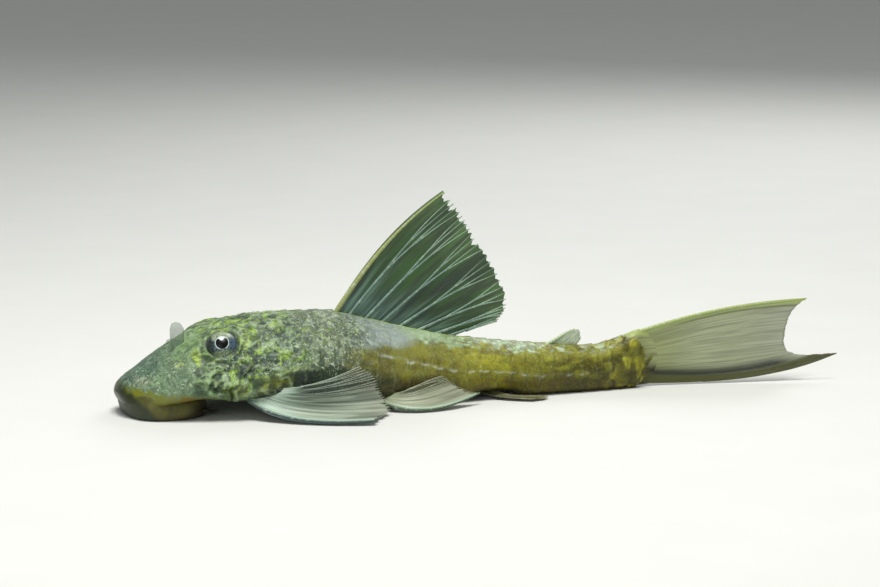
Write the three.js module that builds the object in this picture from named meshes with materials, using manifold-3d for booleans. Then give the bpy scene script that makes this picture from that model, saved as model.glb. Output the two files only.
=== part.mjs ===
// Bristlenose pleco, life size, lying on its belly. Millimetres, +Z up, head toward -X.
// It is shaped straight along u (behind the snout tip), v (to the fish's right) and z (above the floor).
// The last step bends it sideways along an arc, into the slight curve of the resting fish.
import * as THREE from 'three';
import { mergeVertices } from 'three/addons/utils/BufferGeometryUtils.js';
import Module from 'manifold-3d';

const wasm = await Module();
wasm.setup();

// Driving dimensions
const GAP = 0.3;
const BEND_RADIUS = 700;
const ORIGIN_U = 54;
const HEAD_END = 20.3;
const TRUNK_END = 60;
const STEM_END = 93.2;
const HEAD_CUT_LEAN = 0.5;
const LEAN_LEVEL = 9;

// Armour: five rows of plates a side, along the body behind the shoulder
const PLATE_START = 27;
const PLATE_COUNT = 24;
const PLATE_ROWS = 5;
const PLATE_HEIGHT = 0.38;
const PLATE_STEP = 0.14;
const PLATE_SWEEP = 0.55;

// Fins
const MEMBRANE = 0.5;
const FIN_EDGE = 0.4;
const RAY_HALF_WIDTH = 0.17;

// Eyes
const EYE_RADIUS = 2.75;
const EYE_AT = { u: 16.8, v: 7.5, z: 11.7 };
const FAR_EYE_SUNK = 0.6;

// Mouth disc
const DISC_AT = 8.15;
const DISC_HALF_LENGTH = 7.0;
const DISC_HALF_WIDTH = 9.0;
const DISC_SQUARENESS = 2.5;

// Curve through knots [position, value], held level beyond its ends
function along(...knots) {
  const last = knots.length - 1;
  const slope = (k) => {
    const before = knots[Math.max(k - 1, 0)];
    const after = knots[Math.min(k + 1, last)];
    return (after[1] - before[1]) / (after[0] - before[0]);
  };
  return (at) => {
    if (at <= knots[0][0]) return knots[0][1];
    if (at >= knots[last][0]) return knots[last][1];
    const k = knots.findIndex(([x]) => x > at) - 1;
    const span = knots[k + 1][0] - knots[k][0];
    const s = (at - knots[k][0]) / span;
    const rise = knots[k + 1][1] - knots[k][1];
    const start = slope(k) * span;
    const end = slope(k + 1) * span;
    return knots[k][1] + start * s + (3 * rise - 2 * start - end) * s * s + (start + end - 2 * rise) * s ** 3;
  };
}

const ramp = (from, to, at) => THREE.MathUtils.smoothstep(at, from, to);
const bump = (at, centre, reach) => Math.exp(-(((at - centre) / reach) ** 2));

// Body outlines by station: height of back and belly, half width, and the shape of the section
const backHeight = along([0, 4.0], [0.9, 5.8], [4.4, 8.2], [9.6, 11.5], [14.8, 14.0], [18.6, 15.2], [24, 15.8],
  [31, 15.9], [38, 15.7], [44, 14.2], [52, 12.1], [60, 10.3], [68, 9.2], [80, 8.0], [85, 7.85], [88.7, 8.9],
  [93, 10.3]);
const bellyHeight = along([0, 3.6], [0.8, 2.1], [2.5, 1.3], [5, 1.7], [8, 2.5], [13, 3.2], [20, 2.6], [28, 2.3],
  [36, 1.9], [44, 0.6], [48, -0.15], [59, -0.15], [60.6, 0.3], [62.2, 0.95], [68, 0.9], [71.5, 0], [74, -0.12],
  [90, -0.12], [93, 0.2]);
const halfWidth = along([0, 1.2], [0.3, 2.7], [1, 4.5], [3, 7.0], [7, 9.9], [14, 12.0], [20, 12.8], [26, 12.9],
  [34, 12.3], [40, 11.3], [50, 9.6], [60, 7.6], [70, 5.9], [80, 4.4], [88, 3.0], [94, 1.9]);
const widestLevel = along([0, 0.4], [3, 0.22], [14, 0.15], [24, 0.2], [36, 0.25], [50, 0.32], [60, 0.37], [80, 0.47]);
const roundAbove = along([0, 1.9], [6, 1.85], [14, 1.95], [30, 2.0], [50, 1.9], [80, 2.1]);
const roundBelow = along([0, 2.4], [14, 2.8], [50, 3.2], [80, 3.2], [93, 2.4]);

// Share of the half section, from back to belly, that the plate rows cover
const armourReach = along([PLATE_START, 0.64], [56, 0.7], [68, 0.98]);
const lean = (u) => HEAD_CUT_LEAN * ramp(7, HEAD_END, u) * (1 - ramp(HEAD_END, 33, u));

function bend(u, v, z) {
  const angle = (u - ORIGIN_U) / BEND_RADIUS;
  const reach = BEND_RADIUS + v;
  return new THREE.Vector3(reach * Math.sin(angle), reach * Math.cos(angle) - BEND_RADIUS, z);
}

// Point of the section at station u, with turn 0 at the back and 1 at the belly, grown outward all round
function sectionPoint(u, turn, grow) {
  const top = backHeight(u) + grow;
  const bottom = bellyHeight(u) - grow;
  const level = bottom + widestLevel(u) * (top - bottom);
  const up = Math.cos(turn * Math.PI);
  const power = 2 / (up > 0 ? roundAbove(u) : roundBelow(u));
  const height = up > 0 ? top - level : level - bottom;
  return {
    v: (halfWidth(u) + grow) * Math.sin(turn * Math.PI) ** power,
    z: level + Math.sign(up) * height * Math.abs(up) ** power,
  };
}

// Brow over the eye, cheek swelling and the hollow below it
function headRelief(u, v, z) {
  const eyeDistance = Math.hypot(u - EYE_AT.u, v - EYE_AT.v, z - EYE_AT.z);
  const brow = 0.8 * bump(eyeDistance, 2.7, 1.0);
  const cheek = 0.5 * bump(u, 15.5, 2.6) * bump(z, 6.2, 1.6);
  const hollow = 0.35 * bump(u, 17.6, 1.3) * bump(z, 8.4, 1.0);
  return brow + cheek - hollow;
}

// Height of a plate, rising toward its rear edge and falling to the seams above and below it
function plateRelief(turn, u, rise) {
  const row = (turn / armourReach(u)) * PLATE_ROWS;
  if (row >= PLATE_ROWS) return 0;
  const across = row - Math.floor(row);
  const seam = Math.min(1, across * 4, (1 - across) * 4);
  return PLATE_HEIGHT * seam * (0.12 + 0.88 * rise);
}

// Stations from snout to tail: where each ring of points lies and how far the plate there has risen
function bodyStations() {
  const ring = (u, rise = 0) => ({ u, rise });
  const head = [0.3, 1, 2.2, 3.8, 5.6, 7.6, 9.4, 11.2, 12.8, 14.2, 15.4, 16.6, 17.8, 19].map((u) => ring(u));
  const shoulder = [22.4, 24.8].map((u) => ring(u));
  const pitch = (STEM_END - 1.2 - PLATE_START) / PLATE_COUNT;
  const plates = [];
  for (let k = 0; k < PLATE_COUNT; k += 1) {
    const start = PLATE_START + k * pitch;
    plates.push(ring(start + PLATE_STEP), ring(start + pitch, 1));
  }
  const open = plates.filter(({ u }) => Math.abs(u - TRUNK_END) > 0.5);
  const ahead = open.filter(({ u }) => u < TRUNK_END);
  return {
    head: [...head, ring(HEAD_END - GAP / 2)],
    trunk: [ring(HEAD_END + GAP / 2), ...shoulder, ...ahead, ring(TRUNK_END - GAP / 2, 0.6)],
    stem: [ring(TRUNK_END + GAP / 2, 0.6), ...open.slice(ahead.length), ring(STEM_END)],
  };
}

// Ring of section turns: a seam and two points on each plate row, then the bare belly
function ringTurns(u) {
  const reach = armourReach(u);
  const turns = [];
  for (let row = 0; row < PLATE_ROWS; row += 1) {
    for (const across of [0, 0.27, 0.73]) turns.push(((row + across) / PLATE_ROWS) * reach);
  }
  for (const share of [0, 0.35, 0.68]) turns.push(reach + (1 - reach) * share);
  return turns;
}

// One ring of points: left side down from the back, then right side up from the belly
function bodyRing(station, grow) {
  const turns = ringTurns(station.u);
  const sides = [...turns.map((turn) => [turn, -1]), [1, -1], ...turns.slice(1).reverse().map((turn) => [turn, 1])];
  return sides.map(([turn, side]) => {
    const row = (turn / armourReach(station.u)) * PLATE_ROWS;
    const across = row < PLATE_ROWS ? Math.sin(Math.PI * (row - Math.floor(row))) : 0;
    const atCut = ramp(0, 1.5, Math.abs(station.u - TRUNK_END)) * ramp(0, 1.5, STEM_END - station.u);
    const armoured = ramp(PLATE_START - 2.5, PLATE_START, station.u) * atCut;
    const swept = station.u + PLATE_SWEEP * across * armoured;
    let place = sectionPoint(swept, turn, grow);
    const u = swept + lean(station.u) * (place.z - LEAN_LEVEL);
    place = sectionPoint(u, turn, grow);
    const relief = headRelief(u, place.v, place.z) + plateRelief(turn, station.u, station.rise) * armoured;
    const out = sectionPoint(u, turn, grow + relief);
    return bend(u, side * out.v, Math.max(out.z, -grow));
  });
}

// Closed solid through rings of points, with a point or a flat fan at either end
function loft(rings, front, rear) {
  const points = [...rings.flat(), front, rear];
  const count = rings[0].length;
  const frontIndex = points.length - 2;
  const faces = [];
  for (let j = 0; j < count; j += 1) {
    const next = (j + 1) % count;
    faces.push([frontIndex, next, j], [frontIndex + 1, (rings.length - 1) * count + j, (rings.length - 1) * count + next]);
    for (let i = 0; i + 1 < rings.length; i += 1) {
      const [a, b, c, d] = [i * count + j, i * count + next, (i + 1) * count + j, (i + 1) * count + next];
      if (j < count / 2) faces.push([a, b, d], [a, d, c]);
      else faces.push([a, b, c], [b, d, c]);
    }
  }
  return solid(points, faces);
}

function solid(points, faces) {
  const mesh = new wasm.Mesh({
    numProp: 3,
    vertProperties: new Float32Array(points.flatMap((p) => [p.x, p.y, p.z])),
    triVerts: new Uint32Array(faces.flat()),
  });
  return new wasm.Manifold(mesh);
}

// Closed solid from a three.js geometry, moved by place if one is given
function solidOf(geometry, place) {
  const bare = geometry.clone();
  bare.deleteAttribute('normal');
  bare.deleteAttribute('uv');
  const merged = mergeVertices(bare, 1e-4);
  const points = [];
  for (let i = 0; i < merged.attributes.position.count; i += 1) {
    const point = new THREE.Vector3().fromBufferAttribute(merged.attributes.position, i);
    points.push(place ? place(point) : point);
  }
  const index = [...merged.index.array];
  const faces = [];
  for (let i = 0; i < index.length; i += 3) {
    const face = index.slice(i, i + 3);
    if (new Set(face).size === 3) faces.push(face);
  }
  return solid(points, faces);
}

function largest(shape) {
  return shape.decompose().reduce((best, piece) => (piece.volume() > best.volume() ? piece : best));
}

function centreOf(ring) {
  return ring.reduce((sum, point) => sum.add(point), new THREE.Vector3()).divideScalar(ring.length);
}

function bodyLoft(stations, grow, snout) {
  const rings = stations.map((station) => bodyRing(station, grow));
  const front = snout ? bend(-grow, 0, 4.1) : centreOf(rings[0]);
  return loft(rings, front, centreOf(rings.at(-1)));
}

const STATIONS = bodyStations();
const BODY_CLEARANCE = bodyLoft([...STATIONS.head, ...STATIONS.trunk, ...STATIONS.stem], GAP, true);

// Ball or egg of given half sizes at a place of the straight fish
function ball(at, half, across = 14, rings = 9) {
  const geometry = new THREE.SphereGeometry(1, across, rings);
  return solidOf(geometry, (p) => bend(at.u + p.x * half.u, at.v + p.y * half.v, at.z + p.z * half.z));
}

const evenHalf = (radius) => ({ u: radius, v: radius, z: radius });

// The far eye is drawn a little deeper into its socket
function eyePlace(side) {
  const sunk = side > 0 ? FAR_EYE_SUNK : 0;
  return { u: EYE_AT.u, v: side * (EYE_AT.v - sunk / 2), z: EYE_AT.z - sunk };
}

function buildEye(side) {
  return ball(eyePlace(side), evenHalf(EYE_RADIUS), 16, 10);
}

// Nostril: a pit with a rounded skin flap behind it, raised on the left side and laid low on the right
function nostrilFlap(side) {
  const rise = side < 0 ? 2.6 : 1.1;
  return ball({ u: 10.15, v: side * 2.3, z: 10.6 + rise }, { u: 1.15, v: 0.8, z: rise }, 10, 8);
}

function nostrilPit(side) {
  return ball({ u: 9.1, v: side * 2.3, z: 11.4 }, { u: 0.75, v: 0.8, z: 1.1 }, 10, 6);
}

function buildHead() {
  let head = bodyLoft(STATIONS.head, 0, true);
  for (const side of [-1, 1]) {
    head = head.add(nostrilFlap(side)).subtract(nostrilPit(side));
    head = head.subtract(ball(eyePlace(side), evenHalf(EYE_RADIUS + GAP), 16, 10));
  }
  return largest(head);
}

// Sucker mouth: a flat lip ring under the snout, with the jaws in the recess inside it
function buildMouthDisc() {
  const profile = [[0, 6], [0.8, 6], [0.86, 3.6], [0.97, 1.9], [1, 1.1], [0.98, 0.4], [0.92, 0], [0.64, 0],
    [0.55, 0.4], [0.47, 0.95], [0, 1.05]].map(([r, z]) => new THREE.Vector2(r, z));
  const lathe = new THREE.LatheGeometry(profile.reverse(), 30);
  let disc = solidOf(lathe, (p) => {
    const radius = Math.hypot(p.x, p.z);
    const angle = Math.atan2(p.z, p.x);
    const square = (Math.abs(Math.cos(angle)) ** DISC_SQUARENESS + Math.abs(Math.sin(angle)) ** DISC_SQUARENESS)
      ** (-1 / DISC_SQUARENESS);
    const u = DISC_AT + DISC_HALF_LENGTH * radius * square * Math.cos(angle);
    return bend(u, -DISC_HALF_WIDTH * radius * square * Math.sin(angle), p.y);
  });
  for (const side of [-1, 1]) {
    for (const u of [DISC_AT - 1.1, DISC_AT + 1.1]) {
      disc = disc.add(ball({ u, v: side * 1.7, z: 1.0 }, { u: 0.75, v: 1.6, z: 0.6 }, 8, 5));
    }
    disc = disc.add(buildBarbel(side));
  }
  return largest(disc.subtract(BODY_CLEARANCE));
}

// Short feeler at the corner of the mouth
function buildBarbel(side) {
  const cone = new THREE.ConeGeometry(0.45, 3.4, 7);
  return solidOf(cone, (p) => bend(14.6 + p.y * 0.75 + p.x, side * (7.2 + p.y * 0.5 + p.z), 1.3 + p.x * 0.3 - p.z * 0.2));
}

// Smooth path through points [u, v, z], by share 0 to 1
function path(...points) {
  const curve = new THREE.CatmullRomCurve3(points.map((p) => new THREE.Vector3(...p)), false, 'centripetal');
  return (share) => curve.getPoint(THREE.MathUtils.clamp(share, 0, 1));
}

// Vector that passes from the first through the second to the third as share goes 0 to 1
function blend([first, second, third], share) {
  const weights = [(1 - share) * (1 - 2 * share), 4 * share * (1 - share), share * (2 * share - 1)];
  const parts = [first, second, third].map((p, k) => new THREE.Vector3(...p).multiplyScalar(weights[k]));
  return parts[0].add(parts[1]).add(parts[2]);
}

// Middle surface of a fin: share 0 is its leading edge and 1 its trailing ray, reach 0 its root and 1 its margin
function finSurface({ root, margin, early, late }, share, reach) {
  const start = root(share);
  const end = margin(share);
  const second = start.clone().lerp(end, 1 / 3).add(blend(early, share));
  const third = start.clone().lerp(end, 2 / 3).add(blend(late, share));
  const rest = 1 - reach;
  return start.multiplyScalar(rest ** 3).addScaledVector(second, 3 * rest * rest * reach)
    .addScaledVector(third, 3 * rest * reach * reach).addScaledVector(end, reach ** 3);
}

// Columns of a fin, each with its share across the fin, its thickness and how far out it reaches
function finColumns(fin) {
  const { rays, fork, spread, spine, ray } = fin;
  const width = (reach) => finSurface(fin, 0, reach).distanceTo(finSurface(fin, 1, reach));
  const taper = (size, reach) => THREE.MathUtils.lerp(size, Math.min(size, FIN_EDGE + 0.15), reach ** 1.5);
  const spineShare = (reach) => Math.min((spine * 0.9) / width(reach), 0.5 / rays);
  const columns = [
    { share: () => 0, thick: (reach) => taper(spine * 0.55, reach), end: 1 },
    { share: (reach) => spineShare(reach) * 0.5, thick: (reach) => taper(spine, reach), end: 1 },
    { share: spineShare, thick: () => MEMBRANE, end: 0.985 },
  ];
  for (let k = 1; k <= rays; k += 1) {
    const centre = k / rays;
    const branch = (reach) => spread * Math.max(0, (reach - fork) / (1 - fork)) / rays;
    const offset = (reach) => Math.max(Math.min(RAY_HALF_WIDTH / width(reach), 0.2 / rays), branch(reach));
    const inset = (reach) => centre - (k === rays ? offset(reach) : 0);
    const crest = (reach) => taper(ray, reach);
    const split = (reach) => THREE.MathUtils.lerp(crest(reach), MEMBRANE, ramp(fork, fork + 0.15, reach));
    columns.push({ share: (reach) => inset(reach) - offset(reach), thick: crest, end: 1 });
    columns.push({ share: inset, thick: split, end: 0.985 });
    columns.push({ share: (reach) => inset(reach) + offset(reach), thick: crest, end: 1 });
    if (k < rays) columns.push({ share: () => (k + 0.5) / rays, thick: () => MEMBRANE, end: fin.notch });
  }
  return columns;
}

// Closed fin: front and back faces on the same grid, joined along all four edges
function buildFin(fin) {
  const columns = finColumns(fin);
  const step = 0.01;
  const rows = fin.rows;
  const sheets = [[], []];
  columns.forEach((column, index) => {
    for (let j = 0; j <= rows; j += 1) {
      const reach = (j / rows) * column.end;
      const share = column.share(reach);
      const middle = finSurface(fin, share, reach);
      const across = finSurface(fin, share + step, reach).sub(finSurface(fin, share - step, reach));
      const outward = finSurface(fin, share, reach + step).sub(finSurface(fin, share, reach - step));
      const normal = across.cross(outward).normalize();
      const edge = index === 0 || index === columns.length - 1 ? FIN_EDGE : column.thick(reach);
      const butt = (fin.butt ?? 0) * Math.sqrt(Math.max(0, 1 - (2 * share - 1) ** 2)) * (1 - ramp(0, 0.2, reach));
      const tip = j === rows ? FIN_EDGE : Math.max(edge, column.thick(reach) * 0.6);
      const half = (tip + butt) / 2;
      sheets.forEach((sheet, face) => {
        const out = middle.clone().addScaledVector(normal, face === 0 ? half : -half);
        sheet.push(bend(out.x, out.y, out.z));
      });
    }
  });
  return solid(sheets.flat(), finFaces(columns.length, rows + 1));
}

function finFaces(columns, rows) {
  const back = columns * rows;
  const faces = [];
  const at = (i, j) => i * rows + j;
  for (let i = 0; i + 1 < columns; i += 1) {
    for (let j = 0; j + 1 < rows; j += 1) {
      const [a, b, c, d] = [at(i, j), at(i + 1, j), at(i, j + 1), at(i + 1, j + 1)];
      faces.push([a, b, d], [a, d, c], [back + a, back + d, back + b], [back + a, back + c, back + d]);
    }
  }
  const border = [];
  for (let i = 0; i + 1 < columns; i += 1) border.push(at(i, 0));
  for (let j = 0; j + 1 < rows; j += 1) border.push(at(columns - 1, j));
  for (let i = columns - 1; i > 0; i -= 1) border.push(at(i, rows - 1));
  for (let j = rows - 1; j > 0; j -= 1) border.push(at(0, j));
  border.forEach((start, k) => {
    const end = border[(k + 1) % border.length];
    faces.push([start, back + start, back + end], [start, back + end, end]);
  });
  return faces;
}

const NO_BOW = [0, 0, 0];
const FLAT = [NO_BOW, NO_BOW, NO_BOW];

// Root path along the back, sunk into it
function alongBack(from, to, depth) {
  return (share) => {
    const u = THREE.MathUtils.lerp(from, to, share);
    return new THREE.Vector3(u, 0, backHeight(u) - depth);
  };
}

const DORSAL_FIN = {
  root: alongBack(37.2, 56.2, 1.6),
  margin: path([57.4, 0, 35.8], [60.5, 0, 32.0], [63.0, 0, 27.7], [66.9, 0, 21.8], [68.9, 0, 15.6], [67.2, 0, 12.6]),
  early: [[-1.6, 0, 0.9], [0.2, 0, 0], [1.2, 0, 0.5]],
  late: [[-2.8, 0, 1.1], [0.3, 0, 0.5], [0.4, 0, 0.4]],
  rays: 7, fork: 0.45, spread: 0.24, notch: 0.96, spine: 1.3, ray: 0.85, rows: 8,
};

const ADIPOSE_FIN = {
  root: alongBack(74.4, 80.6, 1.1),
  margin: path([80.6, 0, 10.7], [81.9, 0, 10.5], [82.2, 0, 8.9]),
  early: FLAT,
  late: [[-0.3, 0, 0.3], NO_BOW, NO_BOW],
  rays: 1, fork: 0.9, spread: 0.1, notch: 1, spine: 1.0, ray: 0.5, rows: 4,
};

const CAUDAL_FIN = {
  root: path([STEM_END + GAP, 0, 10.2], [STEM_END + GAP, 0, 5.2], [STEM_END + GAP, 0, 0.3]),
  margin: path([123.3, 0, 14.9], [120.6, 0, 12.4], [119.5, 0, 9.2], [119.6, 0, 5.9], [121.8, 0, 4.9], [129.3, 0, 4.9]),
  early: [[0, 0, 1.6], NO_BOW, [0, 0, -1.7]],
  late: [[0, 0, 1.4], NO_BOW, [0, 0, -3.6]],
  rays: 14, fork: 0.4, spread: 0.24, notch: 0.975, spine: 1.3, ray: 0.8, rows: 6, butt: 2.0,
};

const ANAL_FIN = {
  root: path([61.6, -0.8, 1.8], [63.0, -0.6, 2.0], [64.4, -0.4, 2.1]),
  margin: path([71.2, -9.6, 0.45], [73.8, -8.6, 0.45], [74.6, -7.0, 0.45]),
  early: [[-1.6, -2.6, -1.0], [-2.0, -3.8, -1.1], [-2.4, -4.8, -1.2]],
  late: [[-0.6, -1.6, -0.3], [-0.6, -1.4, -0.3], [-0.6, -1.6, -0.3]],
  rays: 4, fork: 0.5, spread: 0.2, notch: 0.95, spine: 0.7, ray: 0.55, rows: 6,
};

// The paired fins, given for the right side and mirrored by side
function pectoralFin(side, spreadOut) {
  const lay = ([u, v, z]) => [u, side * v, z];
  const tip = ([u, v, z]) => [u, side * (12 + (v - 12) * spreadOut), z];
  return {
    root: path(...[[19.9, 11.6, 3.4], [22.6, 12.0, 4.4], [25.4, 12.3, 5.2]].map(lay)),
    margin: path(...[[39.8, 22.0, 0.75], [42.8, 17.2, 0.75], [44.6, 14.2, 1.0], [44.0, 12.9, 2.7], [43.0, 12.4, 4.4],
      [42.2, 12.1, 6.4], [39.6, 12.2, 8.2]].map(tip)),
    early: [[-2.9, 1.1, -3.1], [-1.0, 2.9, -1.5], [0, 3.2, -0.5]].map(lay),
    late: [[-1.2, 2.7, -1.2], [-0.4, 1.8, -0.8], [0, 1.6, -0.4]].map(lay),
    rays: 6, fork: 0.35, spread: 0.26, notch: 0.96, spine: 1.25, ray: 0.8, rows: 8,
  };
}

function pelvicFin(side, spreadOut) {
  const lay = ([u, v, z]) => [u, side * v, z];
  const tip = ([u, v, z]) => [u, side * (8 + (v - 8) * spreadOut), z];
  return {
    root: path(...[[41.8, 8.2, 2.2], [43.4, 8.4, 2.3], [44.8, 8.7, 2.4]].map(lay)),
    margin: path(...[[62.0, 9.0, 1.9], [59.8, 9.4, 2.5], [57.1, 9.7, 3.9], [55.0, 9.9, 5.4]].map(tip)),
    early: [[-1.2, 9.1, -2.9], [-0.6, 6.6, -1.4], [0, 4.2, 0.1]].map(lay),
    late: [[0, 5.3, -1.6], [0, 2.8, -0.6], [0, 0.4, 0.6]].map(lay),
    rays: 5, fork: 0.4, spread: 0.26, notch: 0.96, spine: 1.0, ray: 0.75, rows: 7,
  };
}

const rooted = (fin) => largest(buildFin(fin).subtract(BODY_CLEARANCE));

function meshOf(name, shape, colour, roughness) {
  const { vertProperties, triVerts } = shape.getMesh();
  const geometry = new THREE.BufferGeometry();
  geometry.setAttribute('position', new THREE.BufferAttribute(new Float32Array(vertProperties), 3));
  geometry.setIndex(new THREE.BufferAttribute(new Uint32Array(triVerts), 1));
  geometry.computeVertexNormals();
  const mesh = new THREE.Mesh(geometry, new THREE.MeshStandardMaterial({ color: colour, roughness, metalness: 0 }));
  mesh.name = name;
  return mesh;
}

const SKIN = 0x74805a;
const STEM_SKIN = 0x86853a;
const LIP = 0x4d5230;
const MEMBRANE_COLOUR = 0x8f9a7c;
const EYE_COLOUR = 0x1b211f;

const pleco = new THREE.Group();
pleco.add(meshOf('head', buildHead(), SKIN, 0.5));
pleco.add(meshOf('mouth_disc', buildMouthDisc(), LIP, 0.45));
pleco.add(meshOf('trunk', bodyLoft(STATIONS.trunk, 0, false), SKIN, 0.5));
pleco.add(meshOf('tail_stem', bodyLoft(STATIONS.stem, 0, false), STEM_SKIN, 0.5));
pleco.add(meshOf('dorsal_fin', rooted(DORSAL_FIN), MEMBRANE_COLOUR, 0.4));
pleco.add(meshOf('adipose_fin', rooted(ADIPOSE_FIN), MEMBRANE_COLOUR, 0.4));
pleco.add(meshOf('caudal_fin', rooted(CAUDAL_FIN), MEMBRANE_COLOUR, 0.4));
pleco.add(meshOf('anal_fin', rooted(ANAL_FIN), MEMBRANE_COLOUR, 0.4));
for (const [end, side, spreadOut] of [['left', -1, 1], ['right', 1, 0.94]]) {
  pleco.add(meshOf(`pectoral_fin_${end}`, rooted(pectoralFin(side, spreadOut)), MEMBRANE_COLOUR, 0.4));
  pleco.add(meshOf(`pelvic_fin_${end}`, rooted(pelvicFin(side, spreadOut)), MEMBRANE_COLOUR, 0.4));
  pleco.add(meshOf(`eye_${end}`, buildEye(side), EYE_COLOUR, 0.15));
}

export default pleco;
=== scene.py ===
"""Bristlenose pleco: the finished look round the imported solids.

Sizes in the classes are millimetres of the straight fish: u runs back from the snout tip, v to the fish's
right and z up from the floor. lay() bends them into the resting curve and gives metres.
"""

import logging
import math
from collections.abc import Callable
from dataclasses import dataclass, field
from enum import Enum
from functools import partial
from typing import Any

import bpy
import numpy as np
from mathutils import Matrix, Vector


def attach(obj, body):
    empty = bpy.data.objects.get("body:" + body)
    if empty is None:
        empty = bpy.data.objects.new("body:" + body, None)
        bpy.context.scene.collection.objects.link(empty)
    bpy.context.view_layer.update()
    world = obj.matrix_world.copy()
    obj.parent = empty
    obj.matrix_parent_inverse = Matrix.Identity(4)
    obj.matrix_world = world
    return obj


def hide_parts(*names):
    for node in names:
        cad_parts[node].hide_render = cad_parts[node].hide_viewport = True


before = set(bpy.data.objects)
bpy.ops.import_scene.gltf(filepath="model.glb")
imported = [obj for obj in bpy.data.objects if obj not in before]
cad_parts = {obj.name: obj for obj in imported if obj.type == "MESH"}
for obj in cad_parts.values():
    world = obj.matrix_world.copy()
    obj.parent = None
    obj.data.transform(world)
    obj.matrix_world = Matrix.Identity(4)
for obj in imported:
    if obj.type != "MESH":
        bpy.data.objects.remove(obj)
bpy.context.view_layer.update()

LOG = logging.getLogger("pleco")
Array = np.ndarray
Piece = bpy.types.Object
Material = bpy.types.Material
Socket = bpy.types.NodeSocket
Colour = tuple[float, float, float]
Corner = tuple[float, float, float]
Bow = tuple[Corner, Corner, Corner]
Line = Callable[[Array], Array]

MM = 0.001
BODY = "root"
BEND_RADIUS = 700.0
ORIGIN_U = 54.0
SEED = 417
BAKE_MAP = "OFBake"
EYE_PLACE = (16.8, 7.5, 11.7)


class Slot(Enum):
    """Material slots of the record."""

    SKIN = "skin"
    LIP = "lip"
    FIN = "fin"
    EYE = "eye"


class Side(Enum):
    """Side of the fish, as the sign of v."""

    LEFT = -1
    RIGHT = 1

    @property
    def word(self) -> str:
        """The side's name in lower case."""
        return self.name.lower()


def srgb(red: float, green: float, blue: float) -> Colour:
    """Linear colour of a screen colour given from 0 to 255."""
    shares = [channel / 255 for channel in (red, green, blue)]
    return tuple(c / 12.92 if c <= 0.04045 else ((c + 0.055) / 1.055) ** 2.4 for c in shares)


def ramp(start: float, end: float, at: Array) -> Array:
    """Smooth step from 0 at start to 1 at end."""
    share = np.clip((np.asarray(at, float) - start) / (end - start), 0.0, 1.0)
    return share * share * (3 - 2 * share)


def bump(at: Array, centre: float, reach: float) -> Array:
    """Bell of height 1 at centre."""
    return np.exp(-(((np.asarray(at, float) - centre) / reach) ** 2))


def along(*knots: tuple[float, float]) -> Line:
    """Smooth curve through knots, held level beyond its ends.

    Args:
        knots: Pairs of position and value, in order of position.

    Returns:
        A function of an array of positions.
    """
    x = np.array([knot[0] for knot in knots], float)
    y = np.array([knot[1] for knot in knots], float)
    before = np.maximum(np.arange(len(x)) - 1, 0)
    after = np.minimum(np.arange(len(x)) + 1, len(x) - 1)
    slope = (y[after] - y[before]) / (x[after] - x[before])

    def curve(at: Array) -> Array:
        """Value of the curve at each position."""
        place = np.clip(np.asarray(at, float), x[0], x[-1])
        k = np.clip(np.searchsorted(x, place, side="right") - 1, 0, len(x) - 2)
        span = x[k + 1] - x[k]
        s = (place - x[k]) / span
        rise = y[k + 1] - y[k]
        first, second = slope[k] * span, slope[k + 1] * span
        return y[k] + first * s + (3 * rise - 2 * first - second) * s**2 + (first + second - 2 * rise) * s**3

    return curve


def lay(u: Array, v: Array, z: Array) -> Array:
    """Bends places of the straight fish into its resting curve.

    Args:
        u: Distances behind the snout tip.
        v: Distances to the fish's right.
        z: Heights above the floor.

    Returns:
        One row of x, y and z in metres for each place.
    """
    angle = (u - ORIGIN_U) / BEND_RADIUS
    reach = BEND_RADIUS + v
    return np.stack([reach * np.sin(angle), reach * np.cos(angle) - BEND_RADIUS, z], axis=-1) * MM


def lattice(keys: Array, seed: int) -> Array:
    """Repeatable random value from 0 to 1 for each row of whole numbers.

    Args:
        keys: Rows of three whole numbers.
        seed: Seed of the draw.

    Returns:
        One value for each row.
    """
    mixed = keys.astype(np.int64) @ np.array([73856093, 19349663, 83492791], np.int64) + seed * 2654435761
    mixed = (mixed ^ (mixed >> 13)) * 1274126177 & 0xFFFFFFFF
    mixed = (mixed ^ (mixed >> 16)) * 2246822519 & 0xFFFFFFFF
    return ((mixed ^ (mixed >> 15)) & 0xFFFFFF) / 0xFFFFFF


def noise(points: Array, size: float, draw: int) -> Array:
    """Smooth noise from -1 to 1.

    Args:
        points: Rows of three coordinates.
        size: Size of the noise's swells, in the same unit.
        draw: Number of the draw.

    Returns:
        One value for each row.
    """
    cell = points / size
    base = np.floor(cell).astype(np.int64)
    part = cell - base
    part = part * part * (3 - 2 * part)
    total = np.zeros(len(points))
    for corner in np.ndindex(2, 2, 2):
        weight = np.prod(np.where(np.array(corner) == 1, part, 1 - part), axis=1)
        total += weight * lattice(base + np.array(corner), SEED + draw)
    return total * 2 - 1


def cells(points: Array, size: float, draw: int) -> Array:
    """Distance to the nearest of scattered points, in shares of size.

    Args:
        points: Rows of three coordinates.
        size: Mean distance of the scattered points.
        draw: Number of the draw.

    Returns:
        One distance for each row.
    """
    cell = points / size
    base = np.floor(cell).astype(np.int64)
    nearest = np.full(len(points), np.inf)
    for step in np.ndindex(3, 3, 3):
        key = base + np.array(step) - 1
        place = key + np.stack([lattice(key, SEED + draw + k) for k in range(3)], axis=1)
        nearest = np.minimum(nearest, np.linalg.norm(cell - place, axis=1))
    return nearest


def warped(points: Array, size: float, reach: float) -> Array:
    """Places pushed about by noise, for patterns with ragged edges."""
    return points + reach * np.stack([noise(points, size, draw) for draw in (15, 16, 17)], axis=1)


def evenly(colour: Colour, like: Array) -> Array:
    """The same colour once for each entry of an array."""
    return np.tile(np.array(colour), (len(like), 1))


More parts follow.
